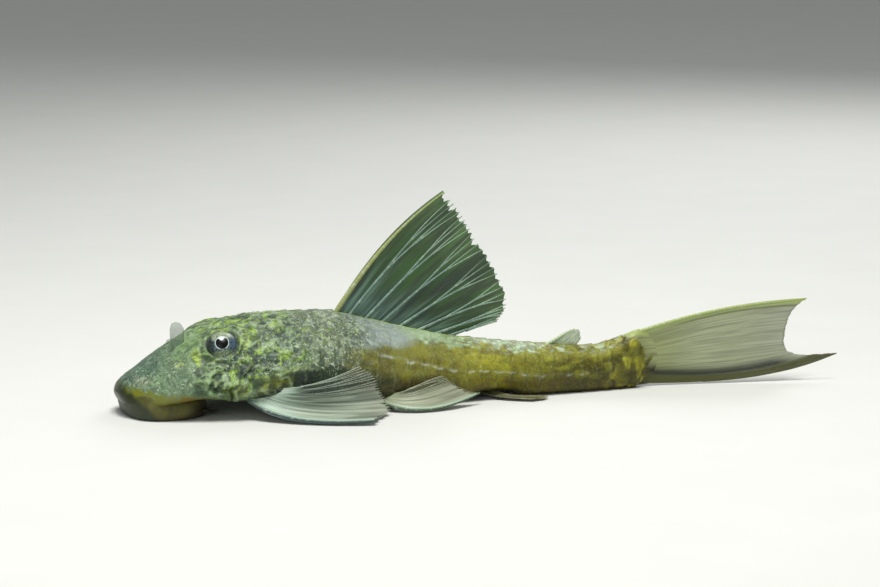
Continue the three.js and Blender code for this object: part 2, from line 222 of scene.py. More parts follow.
def blend(base: Array, colour: Colour | Array, weight: Array) -> Array:
    """Base colours moved towards a colour by a weight from 0 to 1."""
    share = np.clip(weight, 0.0, 1.0)[:, None]
    return base * (1 - share) + np.asarray(colour) * share


def distance_to_line(x: Array, y: Array, corners: list[tuple[float, float]]) -> tuple[Array, Array]:
    """Distance of points from a line through corners.

    Args:
        x: First coordinates of the points.
        y: Second coordinates of the points.
        corners: Corners of the line.

    Returns:
        The distance, and its sign: positive where the point is on the line's left.
    """
    best = np.full(x.shape, 1e9)
    sign = np.ones(x.shape)
    for (ax, ay), (bx, by) in zip(corners, corners[1:]):
        dx, dy = bx - ax, by - ay
        share = np.clip(((x - ax) * dx + (y - ay) * dy) / (dx * dx + dy * dy), 0, 1)
        distance = np.hypot(x - ax - share * dx, y - ay - share * dy)
        turn = np.sign(dx * (y - ay) - dy * (x - ax))
        sign = np.where(distance < best, turn, sign)
        best = np.minimum(best, distance)
    return best, sign


def deselect() -> None:
    """Leaves object mode's selection empty."""
    bpy.ops.object.select_all(action="DESELECT")


def pick(piece: Piece) -> None:
    """Selects one object and makes it the active one."""
    deselect()
    piece.select_set(True)
    bpy.context.view_layer.objects.active = piece


def points_of(piece: Piece) -> Array:
    """Vertex places of a mesh object, one row each.

    Args:
        piece: The mesh object.

    Returns:
        Rows of x, y and z.
    """
    flat = np.empty(len(piece.data.vertices) * 3)
    piece.data.vertices.foreach_get("co", flat)
    return flat.reshape(-1, 3)


def place_points(piece: Piece, points: Array) -> None:
    """Moves the vertices of a mesh object to new places."""
    piece.data.vertices.foreach_set("co", points.astype(np.float32).ravel())
    piece.data.update()


def add_grid(name: str, columns: int, rows: int) -> tuple[Piece, Array, Array]:
    """Adds a flat grid to be shaped.

    Args:
        name: Name of the new piece.
        columns: Number of faces across.
        rows: Number of faces along.

    Returns:
        The piece, and each vertex's share across and along, from 0 to 1.
    """
    deselect()
    bpy.ops.mesh.primitive_grid_add(x_subdivisions=columns, y_subdivisions=rows, size=1.0)
    piece = bpy.context.object
    piece.name = piece.data.name = name
    piece.data.uv_layers[0].name = BAKE_MAP
    flat = points_of(piece)
    across = np.round((flat[:, 0] + 0.5) * columns) / columns
    length = np.round((flat[:, 1] + 0.5) * rows) / rows
    return piece, across, length


def store(piece: Piece, name: str, values: Array) -> None:
    """Keeps one number or one colour for each vertex as an attribute.

    Args:
        piece: The mesh object.
        name: Name of the attribute.
        values: One number or one row of three for each vertex.
    """
    if values.ndim == 1:
        attribute = piece.data.attributes.new(name, "FLOAT", "POINT")
        attribute.data.foreach_set("value", values.astype(np.float32))
        return
    attribute = piece.data.attributes.new(name, "FLOAT_COLOR", "POINT")
    colours = np.concatenate([values, np.ones((len(values), 1))], axis=1)
    attribute.data.foreach_set("color", colours.astype(np.float32).ravel())


def volume(piece: Piece) -> float:
    """Volume inside the faces, negative if they look inwards.

    Args:
        piece: A closed mesh object.

    Returns:
        Cubic metres.
    """
    mesh = piece.data
    mesh.calc_loop_triangles()
    numbers = np.empty(3 * len(mesh.loop_triangles), dtype=np.int32)
    mesh.loop_triangles.foreach_get("vertices", numbers)
    corners = points_of(piece)[numbers].reshape(-1, 3, 3)
    return float(np.sum(corners[:, 0] * np.cross(corners[:, 1], corners[:, 2])) / 6)


def edit(piece: Piece, *steps: Callable[[], Any]) -> None:
    """Runs edit-mode operators, each on all of a piece.

    Args:
        piece: The mesh object.
        steps: The operators in order, with their settings.
    """
    pick(piece)
    bpy.ops.object.mode_set(mode="EDIT")
    for step in steps:
        bpy.ops.mesh.select_all(action="SELECT")
        step()
    bpy.ops.object.mode_set(mode="OBJECT")


def face_outwards() -> None:
    """Turns the selected faces to look out of their shell."""
    bpy.ops.mesh.normals_make_consistent(inside=False)


def close(piece: Piece, within: float = 1e-7) -> None:
    """Merges doubled vertices, turns the faces outwards and shades them smooth.

    Args:
        piece: The mesh object.
        within: Distance in metres up to which vertices are merged.
    """
    merge = partial(bpy.ops.mesh.remove_doubles, threshold=within)
    thin_out = partial(bpy.ops.mesh.dissolve_degenerate, threshold=within)
    edit(piece, merge, thin_out, face_outwards)
    if volume(piece) < 0:
        edit(piece, bpy.ops.mesh.flip_normals)
    bpy.ops.object.shade_smooth()


def mount(piece: Piece, finish: Material, slot: Slot, *nodes: str) -> None:
    """Dresses a finished piece and ties it to the frame.

    Args:
        piece: The finished piece, in its place.
        finish: Its material.
        slot: Not used.
        nodes: CAD nodes that it stands for.
    """
    piece.data.materials.clear()
    piece.data.materials.append(finish)
    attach(piece, BODY)
    if nodes:
        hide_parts(*nodes)
    piece.data.calc_loop_triangles()
    LOG.info("%s: %d triangles", piece.name, len(piece.data.loop_triangles))


@dataclass(frozen=True)
class BodyForm:
    """Sections of the body, from the same sizes as the solids."""

    back: Line = along(
        (0, 4.0), (0.9, 5.8), (4.4, 8.2), (9.6, 11.5), (14.8, 14.0), (18.6, 15.2), (24, 15.8), (31, 15.9),
        (38, 15.7), (44, 14.2), (52, 12.1), (60, 10.3), (68, 9.2), (80, 8.0), (85, 7.85), (88.7, 8.9),
        (93, 10.3),
    )
    belly: Line = along(
        (0, 3.6), (0.8, 2.1), (2.5, 1.3), (5, 1.7), (8, 2.5), (13, 3.2), (20, 2.6), (28, 2.3), (36, 1.9),
        (44, 0.6), (48, -0.15), (59, -0.15), (60.6, 0.3), (62.2, 0.95), (68, 0.9), (71.5, 0), (74, -0.12),
        (90, -0.12), (93, 0.2),
    )
    half_width: Line = along(
        (0, 1.2), (0.3, 2.7), (1, 4.5), (3, 7.0), (7, 9.9), (14, 12.0), (20, 12.8), (26, 12.9), (34, 12.3),
        (40, 11.3), (50, 9.6), (60, 7.6), (70, 5.9), (80, 4.4), (88, 3.0), (94, 1.9),
    )
    widest: Line = along(
        (0, 0.4), (3, 0.22), (14, 0.15), (24, 0.2), (36, 0.25), (50, 0.32), (60, 0.37), (80, 0.47)
    )
    round_above: Line = along((0, 1.9), (6, 1.85), (14, 1.95), (30, 2.0), (50, 1.9), (80, 2.1))
    round_below: Line = along((0, 2.4), (14, 2.8), (50, 3.2), (80, 3.2), (93, 2.4))
    armour: Line = along((27, 0.64), (56, 0.7), (68, 0.98))

    def section(self, u: Array, turn: Array, grow: Array | float) -> tuple[Array, Array]:
        """Place on the section at u.

        Args:
            u: Distance behind the snout tip.
            turn: From 0 at the back to 1 at the belly, negative on the left.
            grow: Distance that the section is grown outwards.

        Returns:
            v and z of each place.
        """
        top = self.back(u) + grow
        bottom = self.belly(u) - grow
        level = bottom + self.widest(u) * (top - bottom)
        up = np.cos(np.abs(turn) * math.pi)
        power = 2 / np.where(up > 0, self.round_above(u), self.round_below(u))
        height = np.where(up > 0, top - level, level - bottom)
        wide = np.clip(np.sin(np.abs(turn) * math.pi), 0, 1) ** power
        v = np.sign(turn) * (self.half_width(u) + grow) * wide
        return v, level + np.sign(up) * height * np.abs(up) ** power

    def share_up(self, u: Array, z: Array) -> Array:
        """Height as a share of the section, 0 at the belly and 1 at the back."""
        bottom = self.belly(u)
        return (z - bottom) / (self.back(u) - bottom)


FORM = BodyForm()


class Graph:
    """Adds and links the nodes of one shader tree."""

    def __init__(self, tree: bpy.types.NodeTree) -> None:
        """Starts with an empty tree."""
        self.tree = tree
        tree.nodes.clear()

    def add(self, kind: str, settings: dict[str, Any] | None = None, **inputs: Any) -> bpy.types.Node:
        """Adds a node.

        Args:
            kind: Node type without its ShaderNode prefix.
            settings: Properties of the node.
            inputs: Values or output sockets, by input name with spaces as underscores, or by in0, in1.

        Returns:
            The node.
        """
        node = self.tree.nodes.new("ShaderNode" + kind)
        for name, value in (settings or {}).items():
            setattr(node, name, value)
        for name, value in inputs.items():
            socket = node.inputs[int(name[2:])] if name[2:].isdigit() else node.inputs[name.replace("_", " ")]
            self.feed(socket, value)
        return node

    def feed(self, socket: Socket, value: Any) -> None:
        """Links an output to a socket, or sets the socket's own value.

        Args:
            socket: The input.
            value: Output socket, colour or number.
        """
        if isinstance(value, Socket):
            self.tree.links.new(value, socket)
        elif isinstance(value, tuple) and len(value) == 3 and socket.type == "RGBA":
            socket.default_value = (*value, 1.0)
        else:
            socket.default_value = value

    def math(self, operation: str, first: Any, second: Any = 0.0, clamp: bool = False) -> Socket:
        """Result of a Math node."""
        node = self.add("Math", {"operation": operation, "use_clamp": clamp}, in0=first, in1=second)
        return node.outputs[0]

    def times(self, first: Any, second: Any) -> Socket:
        """Product of two values."""
        return self.math("MULTIPLY", first, second)

    def plus(self, first: Any, second: Any) -> Socket:
        """Sum of two values."""
        return self.math("ADD", first, second)

    def minus(self, first: Any, second: Any) -> Socket:
        """Difference of two values."""
        return self.math("SUBTRACT", first, second)

    def size_of(self, value: Any) -> Socket:
        """Value without its sign."""
        return self.math("ABSOLUTE", value)

    def span(self, value: Any, low: float, high: float, to_low: float = 0.0, to_high: float = 1.0) -> Any:
        """Value taken smoothly from low..high to to_low..to_high."""
        node = self.add(
            "MapRange", {"interpolation_type": "SMOOTHSTEP"},
            Value=value, From_Min=low, From_Max=high, To_Min=to_low, To_Max=to_high,
        )
        return node.outputs[0]

    def mix(self, share: Any, first: Any, second: Any, how: str = "MIX") -> Socket:
        """Result of a colour Mix node."""
        node = self.add("Mix", {"data_type": "RGBA", "blend_type": how}, in0=share, in6=first, in7=second)
        return node.outputs[2]

    def attribute(self, name: str) -> bpy.types.Node:
        """Node that reads a vertex attribute."""
        return self.add("Attribute", {"attribute_name": name})

    def channels(self, name: str) -> list[Socket]:
        """The three numbers kept in a colour attribute."""
        return list(self.add("SeparateColor", in0=self.attribute(name).outputs["Color"]).outputs)

    def noise(self, where: Any, scale: float, detail: float = 2.0, twist: float = 0.0) -> Socket:
        """Noise value at a place."""
        node = self.add("TexNoise", Vector=where, Scale=scale, Detail=detail, Distortion=twist)
        return node.outputs["Fac"]

    def millimetres(self) -> Socket:
        """Object coordinates in millimetres."""
        place = self.add("TexCoord").outputs["Object"]
        node = self.add("VectorMath", {"operation": "SCALE"}, in0=place, Scale=1000.0)
        return node.outputs[0]


def new_material(name: str) -> tuple[Material, Graph]:
    """A node material with an empty tree."""
    material = bpy.data.materials.new(name)
    material.use_nodes = True
    return material, Graph(material.node_tree)


def shine(graph: Graph, **inputs: Any) -> bpy.types.Node:
    """Adds the Principled shader and the output to a material's tree."""
    shader = graph.add("BsdfPrincipled", **inputs)
    graph.add("OutputMaterial", Surface=shader.outputs["BSDF"])
    return shader


def granule_group() -> bpy.types.NodeTree:
    """Group for the fine grains of armoured skin: a mask of light grains and a height for bump."""
    group = bpy.data.node_groups.new("skin_grains", "ShaderNodeTree")
    graph = Graph(group)
    group.interface.new_socket("Place", in_out="INPUT", socket_type="NodeSocketVector")
    group.interface.new_socket("Size", in_out="INPUT", socket_type="NodeSocketFloat")
    group.interface.new_socket("Grains", in_out="OUTPUT", socket_type="NodeSocketFloat")
    group.interface.new_socket("Height", in_out="OUTPUT", socket_type="NodeSocketFloat")
    start = graph.tree.nodes.new("NodeGroupInput")
    scale = graph.math("DIVIDE", 1.0, start.outputs["Size"])
    grains = graph.add("TexVoronoi", Vector=start.outputs["Place"], Scale=scale, Randomness=0.9)
    dome = graph.span(grains.outputs["Distance"], 0.05, 0.55, 1.0, 0.0)
    lit = graph.add("SeparateColor", in0=grains.outputs["Color"]).outputs[0]
    chosen = graph.times(dome, graph.span(lit, 0.35, 0.8))
    finish = graph.tree.nodes.new("NodeGroupOutput")
    graph.feed(finish.inputs["Grains"], chosen)
    graph.feed(finish.inputs["Height"], dome)
    return group


@dataclass(frozen=True)
class SkinFinish:
    """Armoured skin: painted tone, dark and light mottling, yellow-green flecks, grains, painted highlight on
    crests and plate edges, painted shade in hollows, and a wet gloss.
    """

    name: str = "armoured_skin"
    dark: Colour = srgb(38, 52, 44)
    stem_dark: Colour = srgb(70, 60, 18)
    pale: Colour = srgb(196, 216, 186)
    lime: Colour = srgb(158, 188, 40)
    crest_highlight: Colour = srgb(176, 200, 150)
    roughness: float = 0.42
    grain: float = 0.3

    def build(self, grains: bpy.types.NodeTree) -> Material:
        """Makes the material.

        Args:
            grains: The group of skin grains.

        Returns:
            The material.
        """
        material, graph = new_material(self.name)
        place = graph.millimetres()
        tone = graph.attribute("tone").outputs["Color"]
        dark_share, pale_share, lime_share = graph.channels("marks")
        edge, hollow_shade, naked = graph.channels("form")
        stemward = graph.attribute("stemward").outputs["Fac"]

        blotch = graph.noise(place, 0.85, 3.0, 0.6)
        fine = graph.noise(place, 2.3, 3.0, 0.4)
        uneven = graph.plus(blotch, graph.times(fine, 0.6))
        dark_mask = graph.times(graph.span(uneven, 0.93, 0.72), dark_share)
        dark_colour = graph.mix(stemward, self.dark, self.stem_dark)
        depth = graph.times(dark_mask, graph.span(stemward, 0.0, 1.0, 0.72, 0.6))
        colour = graph.mix(depth, tone, dark_colour)

        fleck = graph.noise(place, 1.7, 4.0, 1.4)
        pale_mask = graph.times(graph.span(fleck, 0.54, 0.7), pale_share)
        colour = graph.mix(graph.times(pale_mask, 0.8), colour, self.pale)

        vein = graph.size_of(graph.minus(graph.noise(place, 0.55, 3.0, 1.8), 0.5))
        patch = graph.noise(place, 0.9, 3.0, 0.8)
        veins = graph.times(graph.span(vein, 0.05, 0.0), graph.span(patch, 0.42, 0.56))
        spots = graph.span(graph.noise(place, 1.1, 3.0, 1.2), 0.6, 0.7)
        lime_mask = graph.times(graph.math("MAXIMUM", veins, spots), lime_share)
        colour = graph.mix(graph.times(lime_mask, 0.75), colour, self.lime)

        cover = graph.add("Group", {"node_tree": grains}, Place=place, Size=self.grain)
        armoured = graph.minus(1.0, naked)
        light_grains = graph.times(cover.outputs["Grains"], graph.times(armoured, 0.12))
        colour = graph.mix(light_grains, colour, self.pale)
        # Painted highlight on the crests, plate edges, cheek lip, gill rim and girdle, from the form
        # attribute's first channel.
        colour = graph.mix(graph.times(edge, 0.44), colour, self.crest_highlight)
        # Painted shade in the hollows: gill opening, pockets, grooves between plates, eye socket, nostrils
        # and between crests.
        colour = graph.mix(graph.times(hollow_shade, 0.75), colour, self.dark)

        domes = graph.times(graph.times(cover.outputs["Height"], armoured), 0.7)
        height = graph.plus(domes, graph.times(fine, 0.5))
        relief = graph.add("Bump", Strength=0.55, Distance=0.12 * MM, Height=height)
        gloss = graph.span(naked, 0.0, 1.0, self.roughness, 0.34)
        gloss = graph.plus(gloss, graph.times(graph.minus(fine, 0.5), 0.2))
        shine(graph, Base_Color=colour, Roughness=gloss, Normal=relief.outputs["Normal"],
              Specular_IOR_Level=0.26, Coat_Weight=0.07, Coat_Roughness=0.25)
        return material


@dataclass(frozen=True)
class LipFinish:
    """Bare skin of the mouth: dark olive with a wet gloss and fine wrinkles."""

    name: str
    tone: Colour
    deep: Colour
    painted: bool = False
    roughness: float = 0.45

    def build(self) -> Material:
        """Makes the material.

        Returns:
            The material.
        """
        material, graph = new_material(self.name)
        place = graph.millimetres()
        shade = graph.noise(place, 0.5, 3.0, 0.6)
        base = graph.attribute("tone").outputs["Color"] if self.painted else self.tone
        colour = graph.mix(graph.span(shade, 0.65, 0.35, 0.0, 0.4), base, self.deep)
        wrinkle = graph.noise(place, 3.0, 2.0, 1.0)
        relief = graph.add("Bump", Strength=0.25, Distance=0.08 * MM, Height=wrinkle)
        gloss = graph.span(wrinkle, 0.3, 0.7, self.roughness, self.roughness + 0.14)
        shine(graph, Base_Color=colour, Roughness=gloss, Normal=relief.outputs["Normal"],
              Specular_IOR_Level=0.4, Coat_Weight=0.08, Coat_Roughness=0.25)
        return material


@dataclass(frozen=True)
class WebFinish:
    """Fin membrane: painted tone, fine streaks along the rays, and see-through by its own attribute."""

    name: str
    streak: float
    contrast: float = 1.0
    roughness: float = 0.4
    glow: Colour = (0.9, 1.0, 0.9)
    shade: Colour = (0.02, 0.035, 0.02)

    def build(self) -> Material:
        """Makes the material.

        Returns:
            The material.
        """
        material, graph = new_material(self.name)
        tone = graph.attribute("tone").outputs["Color"]
        share, reach, cover = graph.channels("web")
        grid = graph.add("CombineXYZ", in0=graph.times(share, self.streak), in1=graph.times(reach, 3.0))
        lines = graph.noise(grid.outputs[0], 1.0, 3.0, 0.15)
        light = graph.span(lines, 0.35, 0.65, 0.0, 0.55 * self.contrast)
        colour = graph.mix(light, tone, self.glow, "SOFT_LIGHT")
        dark = graph.times(graph.span(lines, 0.5, 0.34), 0.35 * self.contrast)
        colour = graph.mix(dark, colour, self.shade)
        fold = graph.add("Bump", Strength=0.3, Distance=0.1 * MM, Height=lines)
        uneven = graph.times(graph.minus(lines, 0.5), 0.35 * self.contrast)
        opacity = graph.math("ADD", cover, uneven, clamp=True)
        shine(graph, Base_Color=colour, Roughness=self.roughness, Alpha=opacity,
              Normal=fold.outputs["Normal"], Specular_IOR_Level=0.4)
        return material


@dataclass(frozen=True)
class RayFinish:
    """Fin ray: painted tone with the fine joints of its segments."""

    name: str = "fin_ray"
    segment: float = 0.62
    joint: Colour = srgb(70, 82, 70)
    gleam: Colour = srgb(210, 226, 208)

    def build(self) -> Material:
        """Makes the material.

        Returns:
            The material.
        """
        material, graph = new_material(self.name)
        tone = graph.attribute("tone").outputs["Color"]
        length = graph.attribute("length").outputs["Fac"]
        wave = graph.math("SINE", graph.times(length, 2 * math.pi / self.segment))
        joint = graph.span(wave, 0.55, 1.0)
        patch = graph.noise(graph.millimetres(), 1.3, 2.0, 0.5)
        colour = graph.mix(graph.times(joint, graph.span(patch, 0.4, 0.6, 0.1, 0.5)), tone, self.joint)
        colour = graph.mix(graph.span(patch, 0.5, 0.7, 0.0, 0.3), colour, self.gleam)
        relief = graph.add("Bump", Strength=0.4, Distance=0.05 * MM, Height=graph.minus(0.0, joint))
        shine(graph, Base_Color=colour, Roughness=0.36, Normal=relief.outputs["Normal"],
              Specular_IOR_Level=0.45)
        return material


@dataclass(frozen=True)
class EyeFinish:
    """Eye: black pupil under a pale iris flap, silver ring and dark mottled iris below a clear coat."""

    name: str = "eye_gloss"
    pupil: Colour = srgb(4, 6, 6)
    ring: Colour = srgb(205, 216, 214)
    iris: Colour = srgb(88, 108, 108)
    iris_dark: Colour = srgb(34, 46, 50)
    iris_pale: Colour = srgb(146, 166, 160)
    gold: Colour = srgb(158, 168, 136)
    indigo: Colour = srgb(66, 80, 108)
    olive: Colour = srgb(108, 122, 78)
    rim: Colour = srgb(14, 20, 17)

    def build(self) -> Material:
        """Makes the material.

        Returns:
            The material.
        """
        material, graph = new_material(self.name)
        place = graph.millimetres()
        pupil, radius, rim = graph.channels("eye")
        behind, up, _ = graph.channels("iris")
        speck = graph.noise(place, 2.6, 3.0, 0.8)
        colour = graph.mix(graph.span(speck, 0.38, 0.56), self.iris_dark, self.iris)
        dust = graph.span(graph.noise(place, 4.2, 2.0, 0.5), 0.58, 0.72, 0.0, 0.8)
        colour = graph.mix(dust, colour, self.iris_pale)
        across = graph.size_of(behind)
        cool = graph.times(graph.span(behind, 0.9, 1.6), graph.span(up, -1.9, -0.9))
        colour = graph.mix(graph.times(cool, graph.span(speck, 0.4, 0.6, 0.1, 0.8)), colour, self.indigo)
        colour = graph.mix(graph.times(graph.span(behind, -1.2, -1.9), 0.8), colour, self.rim)
        below = graph.times(graph.span(up, -1.1, -1.7), graph.span(speck, 0.3, 0.6, 0.55, 1.0))
        colour = graph.mix(below, colour, self.olive)
        spots = graph.times(graph.span(speck, 0.5, 0.62), graph.span(across, 1.0, 0.4))
        colour = graph.mix(graph.times(spots, graph.span(up, -1.0, -1.5)), colour, self.iris_pale)
        top = graph.times(graph.span(up, 0.45, 0.95), graph.span(across, 1.9, 1.2))
        colour = graph.mix(graph.times(top, graph.span(speck, 0.38, 0.58, 0.35, 1.0)), colour, self.gold)
        edge = graph.plus(radius, graph.times(graph.minus(speck, 0.5), 0.7))
        colour = graph.mix(graph.span(edge, 2.35, 2.75, 0.0, 0.8), colour, self.rim)
        band = graph.times(graph.span(rim, 0.15, 0.07), graph.span(pupil, -0.05, 0.03))
        gap = graph.times(graph.span(up, -0.8, -1.1), graph.span(across, 0.7, 0.3, 0.0, 0.75))
        band = graph.times(band, graph.minus(1.0, gap))
        colour = graph.mix(band, colour, self.ring)
        colour = graph.mix(graph.span(pupil, 0.03, -0.04), colour, self.pupil)
        shine(graph, Base_Color=colour, Roughness=0.3, Specular_IOR_Level=0.2,
              Coat_Weight=0.12, Coat_Roughness=0.12)
        return material


@dataclass(frozen=True)
class FloorFinish:
    """Plain pale floor."""

    name: str = "pale_floor"
    tone: Colour = srgb(214, 214, 210)

    def build(self) -> Material:
        """Makes the material.

        Returns:
            The material.
        """
        material, graph = new_material(self.name)
        speck = graph.noise(graph.millimetres(), 0.05, 3.0)
        colour = graph.mix(graph.span(speck, 0.3, 0.7, 0.0, 0.04), self.tone, (1.0, 1.0, 1.0))
        shine(graph, Base_Color=colour, Roughness=0.8, Specular_IOR_Level=0.2)
        return material


@dataclass(frozen=True)
class Palette:
    """Tones of the living fish and of the shade painted on it, named by place."""

    snout: Colour = srgb(110, 133, 103)
    # Dark olive of the bare snout front, deepened as painted shade; snout_low_shade is painted shade at its
    # foot.
    shaded_snout_front: Colour = srgb(42, 50, 24)
    snout_low_shade: Colour = srgb(36, 42, 18)
    snout_top: Colour = srgb(66, 92, 84)
    crown: Colour = srgb(128, 158, 98)
    cheek: Colour = srgb(86, 108, 80)
    jaw: Colour = srgb(110, 112, 22)
    jaw_rear: Colour = srgb(104, 74, 24)
    jaw_low: Colour = srgb(92, 84, 14)
    gill: Colour = srgb(110, 140, 90)
    patch_dark: Colour = srgb(36, 54, 48)
    patch_lime: Colour = srgb(148, 182, 56)
    patch_pale: Colour = srgb(182, 202, 176)
    nape: Colour = srgb(96, 112, 86)
    shoulder: Colour = srgb(78, 98, 82)
    girdle: Colour = srgb(168, 190, 104)
    armpit: Colour = srgb(112, 118, 26)
    # Painted shade for the hollow under the shoulder girdle.
    axil_shade: Colour = srgb(22, 30, 12)
    flank: Colour = srgb(121, 130, 106)
    saddle: Colour = srgb(150, 160, 158)
    olive: Colour = srgb(115, 113, 46)
    # Painted shade of the lower flank.
    low: Colour = srgb(50, 50, 12)
    back_line: Colour = srgb(176, 196, 74)
    mint: Colour = srgb(168, 190, 152)
    gold: Colour = srgb(132, 130, 42)
    stem_low: Colour = srgb(114, 106, 8)
    # Dark blotches of the stem, also used as painted shade under it.
    stem_dark: Colour = srgb(50, 48, 16)
    midline: Colour = srgb(186, 196, 178)
    fin_base: Colour = srgb(146, 152, 104)
    fin_shade: Colour = srgb(104, 110, 68)
    fin_web: Colour = srgb(152, 159, 112)
    fin_edge: Colour = srgb(160, 174, 104)
    fin_line: Colour = srgb(18, 22, 8)
    fin_keel: Colour = srgb(74, 76, 30)
    rust: Colour = srgb(84, 70, 14)
    bright: Colour = srgb(170, 166, 40)
    belly: Colour = srgb(172, 172, 132)


@dataclass(frozen=True)
class Fleck:
    """Coloured patch on both sides of the head, an ellipse with soft edges."""

    u: float
    z: float
    long: float
    tall: float
    tone: Colour
    strength: float = 0.8

    def cover(self, u: Array, z: Array) -> Array:
        """Strength of the patch at each place."""
        away = np.hypot((u - self.u) / self.long, (z - self.z) / self.tall)
        return ramp(1.25, 0.7, away) * self.strength


@dataclass
class Skin:
    """One seamless skin over head, trunk and tail, with its plates, gill opening, nostrils and eye rims."""

    name: str = "skin"
    palette: Palette = field(default_factory=Palette)
    flecks: tuple[Fleck, ...] = (
        Fleck(12.3, 10.3, 0.55, 1.1, srgb(176, 200, 70)),
        Fleck(9.4, 9.1, 0.9, 0.22, srgb(190, 190, 100)),
        Fleck(3.6, 6.3, 1.3, 0.6, srgb(134, 140, 122), 0.7),
        Fleck(20.3, 12.6, 0.6, 0.9, srgb(160, 184, 74)),
        Fleck(22.3, 13.4, 0.8, 0.6, srgb(150, 178, 70)),
        Fleck(27.0, 10.8, 1.3, 0.8, srgb(140, 172, 64)),
        Fleck(29.6, 10.0, 0.9, 0.6, srgb(150, 180, 90)),
        Fleck(18.8, 8.7, 0.45, 0.8, srgb(160, 186, 80)),
        Fleck(16.6, 15.0, 1.2, 0.5, srgb(150, 180, 84), 0.6),
        Fleck(17.0, 5.0, 0.5, 1.1, srgb(170, 176, 40), 0.7),
        Fleck(18.8, 5.3, 1.3, 1.2, srgb(140, 146, 70), 0.7),
    )
    plate_start: float = 27.0
    plate_end: float = 92.0
    plate_count: int = 24
    plate_rows: int = 5
    plate_height: float = 0.22
    plate_step: float = 0.12
    plate_sweep: float = 0.55
    row_columns: int = 16
    belly_columns: int = 19
    head_rows: int = 150
    plate_steps: int = 12
    tail_rows: int = 24
    snout_tip: float = 4.1
    snout_cap: float = 0.35
    tail_tip: float = 96.8
    tail_middle: float = 5.2
    tail_half: float = 5.0
    inset: float = 0.03
    socket_radius: float = 2.8
    margin: Line = along((0, 5.5), (2, 5.2), (5, 4.75), (12, 4.35), (16, 3.8))
    shoulder: Line = along((20, 5.6), (23, 6.9), (26, 7.7), (29, 8.2), (37, 8.3))
    olive_top: Line = along((36, 0.62), (42, 0.68), (46, 0.76), (50, 0.83), (56, 0.88), (62, 0.89))
    lateral_line: Line = along((42, 0.68), (44, 0.66), (53, 0.6), (66, 0.47), (85, 0.45), (92, 0.45))
    fin_border: Line = along((0, 95.4), (4.5, 94.4), (7, 93.2), (8.7, 91.6), (9.3, 88.6), (10.3, 86.0))

    def rows(self) -> tuple[Array, Array, Array]:
        """Rows of the grid from snout to tail.

        Returns:
            The place u of each row, how far its plate has risen, and the ring's size near the snout tip.
        """
        cap = np.linspace(0, 1, 9)[:-1]
        head_length = self.plate_start - self.snout_cap
        front = self.snout_cap + np.linspace(0, 1, self.head_rows) ** 1.25 * head_length
        pitch = (self.plate_end - self.plate_start) / self.plate_count
        inside = np.linspace(0, 1, self.plate_steps)
        starts = self.plate_start + np.arange(self.plate_count)[:, None] * pitch
        plates = (starts + self.plate_step + inside * (pitch - self.plate_step)).ravel()
        rise = np.tile(inside, self.plate_count)
        tail = self.plate_end + np.linspace(0, 1, self.tail_rows + 1)[1:] * (self.tail_tip - self.plate_end)
        u = np.concatenate([self.inset + (self.snout_cap - self.inset) * cap**2, front, plates, tail])
        risen = np.concatenate([np.zeros(len(cap) + len(front)), rise, np.zeros(len(tail))])
        size = np.concatenate([np.sin(cap * math.pi / 2), np.ones(len(u) - len(cap))])
        return u, risen, size

    def turns(self) -> tuple[Array, Array]:
        """Columns of the grid, from the belly round the left, the back and the right to the belly.

        Returns:
            For each column its plate row number with its share across, and its share of the bare belly.
        """
        side = np.linspace(0, self.plate_rows, self.plate_rows * self.row_columns + 1)
        below = np.linspace(0, 1, self.belly_columns + 1)[1:]
        row = np.concatenate([side, np.full(len(below), float(self.plate_rows))])
        bare = np.concatenate([np.zeros(len(side)), below])
        return np.concatenate([-row[::-1], row[1:]]), np.concatenate([bare[::-1], bare[1:]])

    def crags(self, u: Array, v: Array, z: Array) -> Array:
        """Bony crests of the head, from 0 in the hollows between them to 1 on the crests.

        Args:
            u: Distance behind the snout tip.
            v: Distance from the middle, the same on both sides.
            z: Height above the floor.

        Returns:
            One value for each place.
        """
        places = np.stack([u, v, z * 1.2], axis=1)
        places = warped(places, 1.5, 0.55)
        wide = np.clip(1 - 2.6 * np.abs(noise(places, 2.4, 1)), 0, 1)
        fine = np.clip(1 - 2.6 * np.abs(noise(places, 1.15, 2)), 0, 1)
        return np.clip(0.62 * wide**1.2 + 0.5 * fine**1.2, 0, 1)

    def relief(self, u: Array, v: Array, z: Array, row: Array, risen: Array) -> tuple[Array, Array]:
        """Height of the skin over the plain section.

        Args:
            u: Distance behind the snout tip.
            v: Distance from the middle, the same on both sides.
            z: Height above the floor.
            row: Plate row number with its share across.
            risen: How far the plate has risen there.

        Returns:
            The height, and rows of painted crest highlight, painted shade in the hollows, and bare skin, from
            0 to 1.
        """
        places = np.stack([u, v, z], axis=1)
        across = row - np.floor(row)
        armoured = ramp(self.plate_start - 1.5, self.plate_start + 4, u)
        armoured = armoured * (1 - ramp(self.plate_end - 0.2, self.plate_end + 0.6, u))
        on_rows = (row < self.plate_rows).astype(float)
        seam = np.minimum(1, np.minimum(across, 1 - across) * 5)
        keel = 0.3 * bump(across, 0.5, 0.14)
        calm = 1 - 0.85 * ramp(38, 43, u) * ramp(54, 50, u) * ramp(0.6, 0.7, FORM.share_up(u, z))
        slope = 0.1 + (0.6 + keel) * risen**1.4
        plate = self.plate_height * seam * slope * armoured * on_rows * (0.4 + 0.6 * calm)
        # Patchy strength of the painted plate-edge highlight and groove shade.
        patchy_light_and_shade = ramp(-0.3, 0.5, noise(places, 1.4, 4)) * calm
        edge = ramp(0.8, 0.98, risen) * ramp(0.05, 0.3, seam) * armoured * on_rows * patchy_light_and_shade
        groove = ramp(0.16, 0.0, risen) * armoured * on_rows * (0.4 * calm + 0.6 * patchy_light_and_shade)

